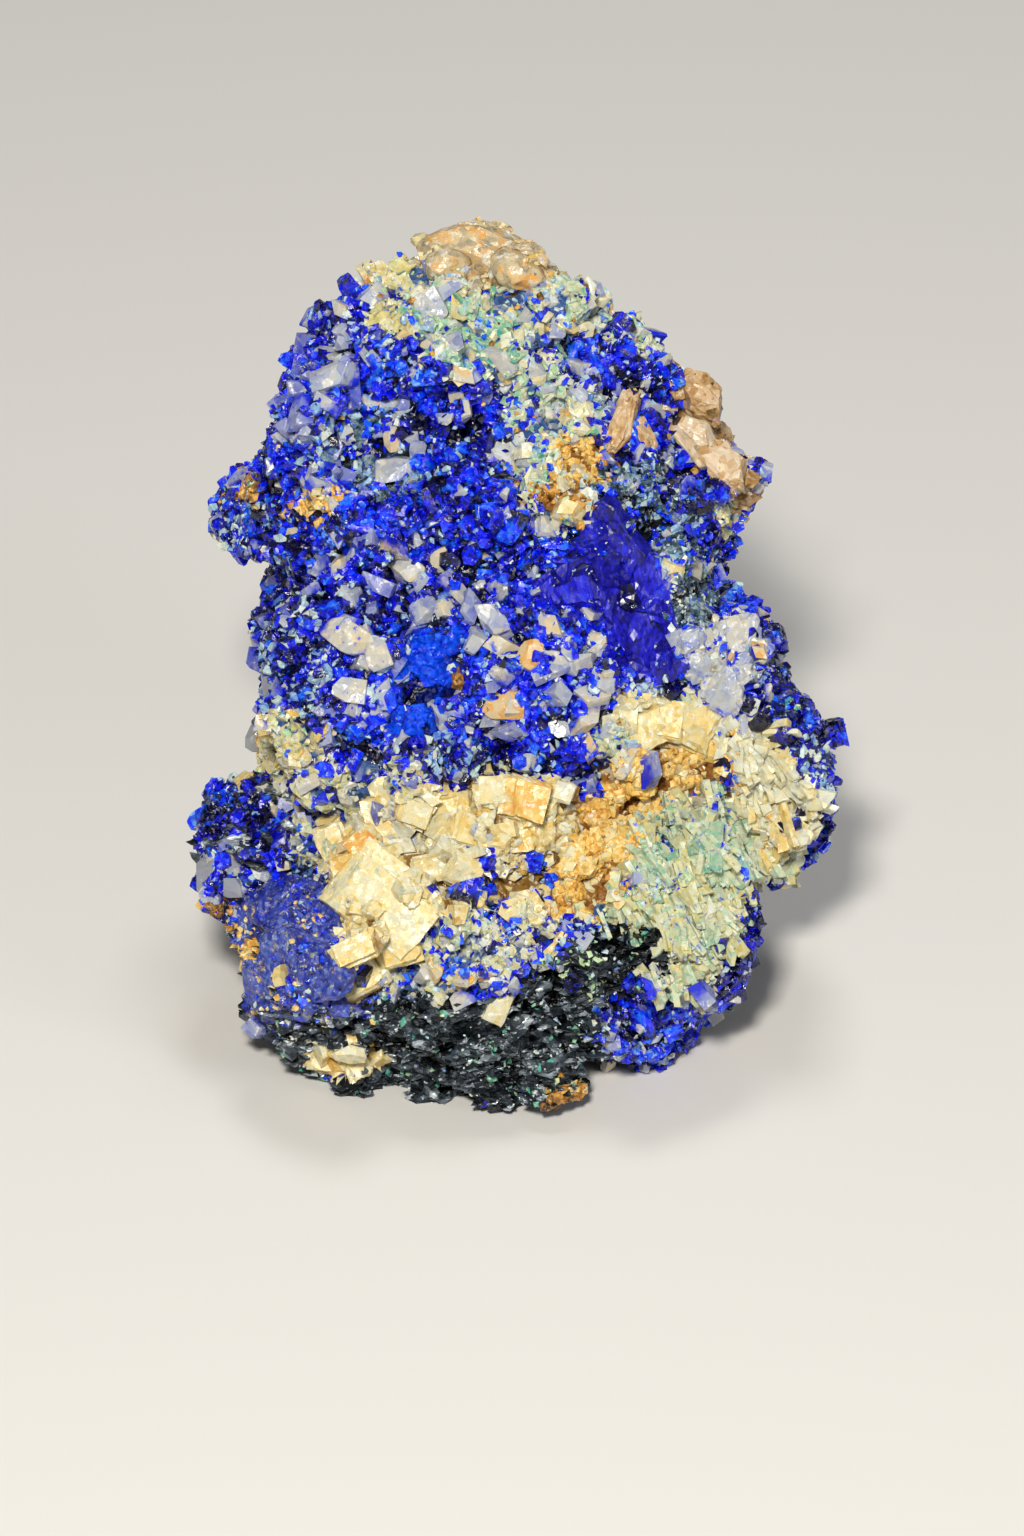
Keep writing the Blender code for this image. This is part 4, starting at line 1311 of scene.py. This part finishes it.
def mineral(
    name, tones, stain_and_shade, roughness, grain_mm, bump_mm, mottle, facets, dust=(), run=(1, 1, 1), **constants
):
    """A mineral whose colour runs along its tones: the tone attribute chooses one, and noise mottles it.

    One attribute says where its deep places and the feet of its grains take the stain colour: painted shade
    where that colour is dark, and a real stain where it is blue.
    Dust is a list of other minerals on it: their colour, how wide their swells are in mm, and from what
    level of noise they show. Roughness runs between two values, and the bump is as coarse as the grain.
    Facets give the width in mm and the lean of its smallest faces. Run squeezes all of this along an axis.
    Constants go straight to the shader's sockets.
    """
    material = bpy.data.materials.new(name)
    material.use_nodes = True
    tree = material.node_tree
    shader = tree.nodes["Principled BSDF"]
    where = add_node(tree, "ShaderNodeTexCoord").outputs["Object"]
    where = add_node(tree, "ShaderNodeVectorMath", {"operation": "MULTIPLY", 1: run}, {0: where}).outputs[0]
    tone = add_node(tree, "ShaderNodeAttribute", {"attribute_name": "tone"}).outputs["Fac"]
    fine, slow = (
        add_node(
            tree, "ShaderNodeTexNoise", {**kind, "Scale": 1 / (mm * MM)}, {"Vector": where}
        ).outputs["Fac"]
        for kind, mm in ((FINE_NOISE, grain_mm), (SLOW_NOISE, grain_mm * SLOWER))
    )
    level, leaning = small_facets(tree, where, *facets)
    both = add_node(tree, "ShaderNodeMath", {"operation": "ADD"}, {0: fine, 1: slow}).outputs[0]
    settings = {"operation": "MULTIPLY_ADD", 1: mottle, 2: -AVERAGE * mottle}
    swing = add_node(tree, "ShaderNodeMath", settings, {0: both}).outputs[0]
    settings = {"operation": "MULTIPLY_ADD", 1: FACET_SHARE * mottle}
    swing = add_node(tree, "ShaderNodeMath", settings, {0: level, 2: swing}).outputs[0]
    settings = {"operation": "ADD", "use_clamp": True}
    place = add_node(tree, "ShaderNodeMath", settings, {0: tone, 1: swing}).outputs[0]
    ramp = add_node(tree, "ShaderNodeValToRGB", None, {"Fac": place})
    steps = ramp.color_ramp.elements
    while len(steps) < len(tones):
        steps.new(0.5)
    for step, (place, colour) in zip(steps, tones):
        step.position = place
        step.color = linear(colour)
    colour = ramp.outputs["Color"]
    for dust_colour, mm, dust_level in dust:
        colour = dusted(tree, where, colour, dust_colour, mm, dust_level)
    # Deep places and grains' feet take the stain colour: painted shade where it is dark, a real stain where
    # it is blue.
    foot = add_node(tree, "ShaderNodeAttribute", {"attribute_name": "stain_and_shade"}).outputs["Fac"]
    settings = {"operation": "MULTIPLY_ADD", 1: STAIN_AND_SHADE_NOISE}
    ragged = add_node(tree, "ShaderNodeMath", settings, {0: fine, 2: foot}).outputs[0]
    settings = {"From Min": STAIN_AND_SHADE_EDGE[0], "From Max": STAIN_AND_SHADE_EDGE[1]}
    cover = add_node(tree, "ShaderNodeMapRange", settings, {"Value": ragged}).outputs[0]
    settings = {"data_type": "RGBA", 7: linear(stain_and_shade)}
    stained_and_shaded = add_node(tree, "ShaderNodeMix", settings, {0: cover, 6: colour}).outputs[2]
    tree.links.new(stained_and_shaded, shader.inputs["Base Color"])
    settings = dict(zip(("From Min", "From Max", "To Min", "To Max"), GLOSS_NOISE + roughness))
    gloss = add_node(tree, "ShaderNodeMapRange", settings, {"Value": slow}).outputs[0]
    tree.links.new(gloss, shader.inputs["Roughness"])
    settings = {"Strength": BUMP_STRENGTH, "Distance": bump_mm * MM}
    bump = add_node(tree, "ShaderNodeBump", settings, {"Height": fine, "Normal": leaning})
    tree.links.new(bump.outputs["Normal"], shader.inputs["Normal"])
    for socket, value in constants.items():
        shader.inputs[socket.replace("_", " ")].default_value = value
    return material


def make_materials():
    # After each ramp comes the stain colour that deep places and the feet of grains take: where it is dark it
    # is painted shade, and where it is blue, on quartz, crust and mixed crust, it is a real stain.
    return {
        # Glassy copper carbonate: royal blue on its faces and azure where thin; in its depths a painted shade
        # of nearly black blue.
        "azurite": mineral(
            "azurite, glassy crystals",
            ((0, "#02011e"), (0.18, "#060464"), (0.34, "#0708c4"), (0.52, "#061efa"), (0.68, "#0a50fc"),
             (0.84, "#2c7cf8"), (1, "#8ab8f2")),
            "#020220", (0.10, 0.34), 0.7, 0.20, 0.62, (0.60, 0.75),
            dust=(("#1668f6", 1.7, 0.57), ("#a4b8e0", 0.9, 0.62), ("#cfe0de", 0.45, 0.645),
                  ("#03022c", 1.2, 0.59)),
            IOR=1.73, Specular_IOR_Level=0.4,
        ),
        # Azurite so fine that it looks like velvet: bright azure, with a darker painted shade in its folds.
        "azure": mineral(
            "azurite, velvety",
            ((0, "#021484"), (0.3, "#0234cc"), (0.6, "#0350e6"), (1, "#1478f0")),
            "#02105c", (0.3, 0.5), 0.5, 0.16, 0.55, (0.35, 0.6),
            dust=(("#0828b0", 1.4, 0.57), ("#4aa4f0", 0.5, 0.66)), IOR=1.73, Specular_IOR_Level=0.12,
        ),
        # A cleaved azurite face: one smooth dark plane with a violet sheen and fine pale specks.
        "plate": mineral(
            "azurite, cleaved face",
            ((0, "#05032e"), (0.3, "#0f0a84"), (0.55, "#1916bc"), (0.8, "#3638d6"), (1, "#6a76e4")),
            "#04032e", (0.26, 0.42), 0.9, 0.06, 0.50, (0.45, 0.14),
            dust=(("#4a56cc", 0.5, 0.62), ("#b2bce4", 0.26, 0.67), ("#0b24d8", 2.4, 0.58),
                  ("#070430", 1.5, 0.58)),
            run=(1.5, 1, 0.7), IOR=1.73, Specular_IOR_Level=0.3,
        ),
        # Azurite face worn dull, with tan crumbs and pale dust rubbed into it.
        "worn azurite": mineral(
            "azurite, worn face",
            ((0, "#0a0c3c"), (0.3, "#141e80"), (0.55, "#22389e"), (0.8, "#4660ae"), (1, "#8a9ec4")),
            "#04033a", (0.24, 0.5), 0.6, 0.18, 0.62, (0.50, 0.6),
            dust=(("#0c2ee8", 2.0, 0.57), ("#8c8a68", 0.7, 0.575), ("#c0a45c", 1.5, 0.61),
                  ("#c6d2d8", 0.4, 0.62), ("#081040", 1.0, 0.60)),
            IOR=1.73,
        ),
        # Milky vein quartz: light goes in, so its edges glow, lilac over blue and warm where it is stained.
        "quartz": mineral(
            "vein quartz, milky",
            ((0, "#4a54b4"), (0.2, "#8088b8"), (0.36, "#a6adb8"), (0.52, "#bab9b0"), (0.66, "#c8bd9e"),
             (0.82, "#d6ac66"), (1, "#bd7830")),
            "#1426c8", (0.18, 0.40), 1.0, 0.12, 0.30, (1.1, 0.40),
            dust=(("#dedcd6", 0.9, 0.58), ("#3a5ad8", 1.2, 0.60), ("#c9995a", 2.2, 0.66)), IOR=1.544,
            Subsurface_Weight=0.35, Subsurface_Radius=(1.0, 0.9, 0.8), Subsurface_Scale=0.0010,
        ),
        # Pale powdery crust of mixed carbonates, bluish to greenish white.
        "crust": mineral(
            "carbonate crust, pale",
            ((0, "#2452c8"), (0.28, "#6c98c8"), (0.5, "#a6c4c8"), (0.72, "#ccd8ca"), (1, "#e6e2cc")),
            "#122cc4", (0.25, 0.55), 0.4, 0.08, 0.34, (0.45, 0.55),
            dust=(("#2444bc", 0.8, 0.58), ("#eef2ee", 0.4, 0.62)),
        ),
        # Cream, yellow-green and teal crusts grown through each other, with brown pits and blue specks.
        "mixed": mineral(
            "carbonate crust, mixed",
            ((0, "#c6ba74"), (0.22, "#c8c496"), (0.42, "#c0c6ac"), (0.6, "#a4c0a0"), (0.8, "#7cb49c"),
             (1, "#4a9896")),
            "#34568c", (0.25, 0.55), 0.6, 0.16, 0.60, (0.55, 0.55),
            dust=(("#dcd9ca", 1.0, 0.59), ("#2c50cc", 1.2, 0.60), ("#66543a", 0.8, 0.63),
                  ("#c2b870", 1.8, 0.60)),
        ),
        # Cleaved carbonate: waxy flat faces, white to cream, yellow and orange where iron has stained it.
        "cream": mineral(
            "cleaved carbonate, waxy",
            ((0, "#d2d6d0"), (0.2, "#d6d6bc"), (0.4, "#dccd98"), (0.6, "#dcbc68"), (0.8, "#dc9c40"),
             (1, "#c67626")),
            "#8d6a30", (0.18, 0.46), 0.6, 0.14, 0.36, (0.60, 0.45),
            dust=(("#e8e5da", 1.0, 0.59), ("#9fb098", 1.6, 0.62), ("#d49438", 2.6, 0.65)), IOR=1.6,
            Subsurface_Weight=0.30, Subsurface_Radius=(1.0, 0.8, 0.5), Subsurface_Scale=0.0010,
        ),
        # The cap's quartz: cream to peach, smooth and waxy, with rusty clouds.
        "cap": mineral(
            "vein quartz, cream",
            ((0, "#6c604a"), (0.3, "#aca084"), (0.55, "#cbb88e"), (0.8, "#d8a45c"), (1, "#c07a34")),
            "#7d5c2a", (0.12, 0.34), 1.2, 0.18, 0.70, (0.9, 0.40),
            dust=(("#d8a050", 3.2, 0.56), ("#dfd9cd", 1.8, 0.545), ("#4c3a22", 0.7, 0.625),
                  ("#7c9c80", 2.2, 0.66)),
            IOR=1.544, Subsurface_Weight=0.3, Subsurface_Radius=(1.0, 0.8, 0.6), Subsurface_Scale=0.0010,
        ),
        # Iron-stained crust: golden and earthy, pale where it is worn, and dark brown in its pits, where the
        # brown is painted shade.
        "ochre": mineral(
            "limonite crust, earthy",
            ((0, "#3a240e"), (0.2, "#8a5e26"), (0.38, "#cc9338"), (0.56, "#e6b450"), (0.8, "#ebce80"),
             (1, "#ecddb0")),
            "#8a5a22", (0.25, 0.6), 0.5, 0.18, 0.46, (0.45, 0.7),
            dust=(("#ece2b8", 0.9, 0.59), ("#5c3a16", 1.0, 0.63)),
        ),
        # Iron-stained rock at the right tip: tan to rusty, in places bleached or blue.
        "tan rock": mineral(
            "iron-stained rock, tan",
            ((0, "#5a3e1c"), (0.25, "#9c7644"), (0.5, "#bd9a6a"), (0.72, "#c8b090"), (1, "#d6c8ae")),
            "#50340f", (0.22, 0.5), 1.1, 0.22, 0.55, (1.0, 0.55),
            dust=(("#d6cfc0", 1.1, 0.60), ("#c9bc78", 1.8, 0.62), ("#4a2d0e", 0.8, 0.62),
                  ("#1e34c4", 2.4, 0.66)),
        ),
        # Thin green carbonate: chalky mint, deep turquoise where thick.
        "malachite": mineral(
            "malachite crust, chalky",
            ((0, "#d0d4a4"), (0.25, "#b0ca98"), (0.5, "#7ab492"), (0.75, "#3d9a86"), (1, "#1283a8")),
            "#1f5f70", (0.3, 0.65), 0.5, 0.10, 0.44, (0.45, 0.5),
            dust=(("#dcdcb4", 1.1, 0.56), ("#2f7a96", 1.3, 0.62)),
        ),
        # Altered grey rock with a teal bloom.
        "slate": mineral(
            "altered rock, grey",
            ((0, "#0a1014"), (0.3, "#263844"), (0.5, "#4e6876"), (0.7, "#88a0a8"), (1, "#d0dad4")),
            "#080c14", (0.16, 0.46), 0.5, 0.18, 0.56, (0.5, 0.8),
            dust=(("#c8d8d4", 0.6, 0.59), ("#1f48d0", 1.1, 0.58), ("#060a10", 1.0, 0.62)),
        ),
        # Sulphide ore: nearly black and part metallic, so it glints where it turns to the light. Its fine
        # pale specks, drawn out along its layers, are partly pale mineral and partly painted glints.
        "ore": mineral(
            "sulphide ore, dark metallic",
            ((0, "#07090c"), (0.35, "#1e2429"), (0.6, "#434c54"), (0.8, "#7c878f"), (1, "#cdd5d8")),
            "#040507", (0.14, 0.36), 0.8, 0.30, 0.60, (0.8, 0.9),
            dust=(("#c2cccb", 0.45, 0.65), ("#5f8f84", 1.8, 0.67), ("#1c3a9a", 1.8, 0.68),
                  ("#050608", 1.4, 0.60)),
            run=(0.6, 0.6, 1.7), Metallic=0.4,
        ),
        # Clear quartz crystals at the lower left.
        "clear quartz": mineral(
            "quartz crystal, clear",
            ((0, "#b9c0ca"), (0.5, "#dcdfe2"), (1, "#ece9e2")),
            "#8a93a8", (0.04, 0.14), 1.5, 0.06, 0.08, (1.2, 0.2), IOR=1.544, Transmission_Weight=0.6,
        ),
    }


def make_floor():
    """A wide pale matt floor."""
    bm = bmesh.new()
    bmesh.ops.create_grid(bm, x_segments=1, y_segments=1, size=3)
    mesh = bpy.data.meshes.new("floor")
    bm.to_mesh(mesh)
    bm.free()
    floor = link(bpy.data.objects.new("floor", mesh))
    paper = bpy.data.materials.new("matt paper, pale")
    paper.use_nodes = True
    shader = paper.node_tree.nodes["Principled BSDF"]
    shader.inputs["Base Color"].default_value = linear("#d9d7d2")
    shader.inputs["Roughness"].default_value = 0.9
    mesh.materials.append(paper)


def add_light(name, place, size, watts, colour):
    """A square soft light that shines at the specimen's middle."""
    data = bpy.data.lights.new(name, "AREA")
    data.size = size
    data.energy = watts
    data.color = linear(colour)[:3]
    lamp = link(bpy.data.objects.new(name, data))
    lamp.location = place
    aim = Vector((0, 0, 0.035)) - Vector(place)
    lamp.rotation_euler = aim.to_track_quat("-Z", "Y").to_euler()


def light_studio():
    add_light("key", (-0.08, -0.64, 0.62), 0.11, 8.2, "#fffaf2")
    add_light("fill", (0.62, -0.50, 0.34), 0.22, 1.1, "#f4f7ff")
    add_light("top", (0.05, 0.34, 0.74), 0.22, 1.9, "#ffffff")
    world = bpy.data.worlds.new("studio")
    world.use_nodes = True
    sky = world.node_tree.nodes["Background"]
    sky.inputs["Color"].default_value = linear("#dfe3e8")
    sky.inputs["Strength"].default_value = 0.14
    bpy.context.scene.world = world
    bpy.context.scene.view_settings.view_transform = "Standard"


def add_camera():
    data = bpy.data.cameras.new("camera")
    data.sensor_fit = "VERTICAL"
    data.sensor_height = SENSOR_MM
    data.lens = FOCAL_PIXELS * SENSOR_MM / PHOTO_HEIGHT
    data.clip_start = 0.05
    data.clip_end = 20
    camera = link(bpy.data.objects.new("camera", data))
    camera.location = CAMERA
    camera.rotation_euler = (-TOWARDS_CAMERA).to_track_quat("-Z", "Y").to_euler()
    bpy.context.scene.camera = camera


def main():
    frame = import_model()
    add_camera()
    light_studio()
    make_floor()
    rng = np.random.default_rng(SEED)
    materials = make_materials()
    body = draw_skin(frame["nodes"][NODE])
    smooth, depth = thin_out(body, *shape_skin(body, rng))
    dress_skin(body, smooth, depth, materials, rng)
    tree = BVHTree.FromObject(body, bpy.context.evaluated_depsgraph_get())
    pieces = [(body, "azurite")] + sow(body, smooth, materials, rng)
    pieces += set_landmarks(tree, materials, rng) + lay_slabs(tree, materials, rng)
    for piece, slot in pieces:
        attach(piece, "root")
        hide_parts(NODE)


main()
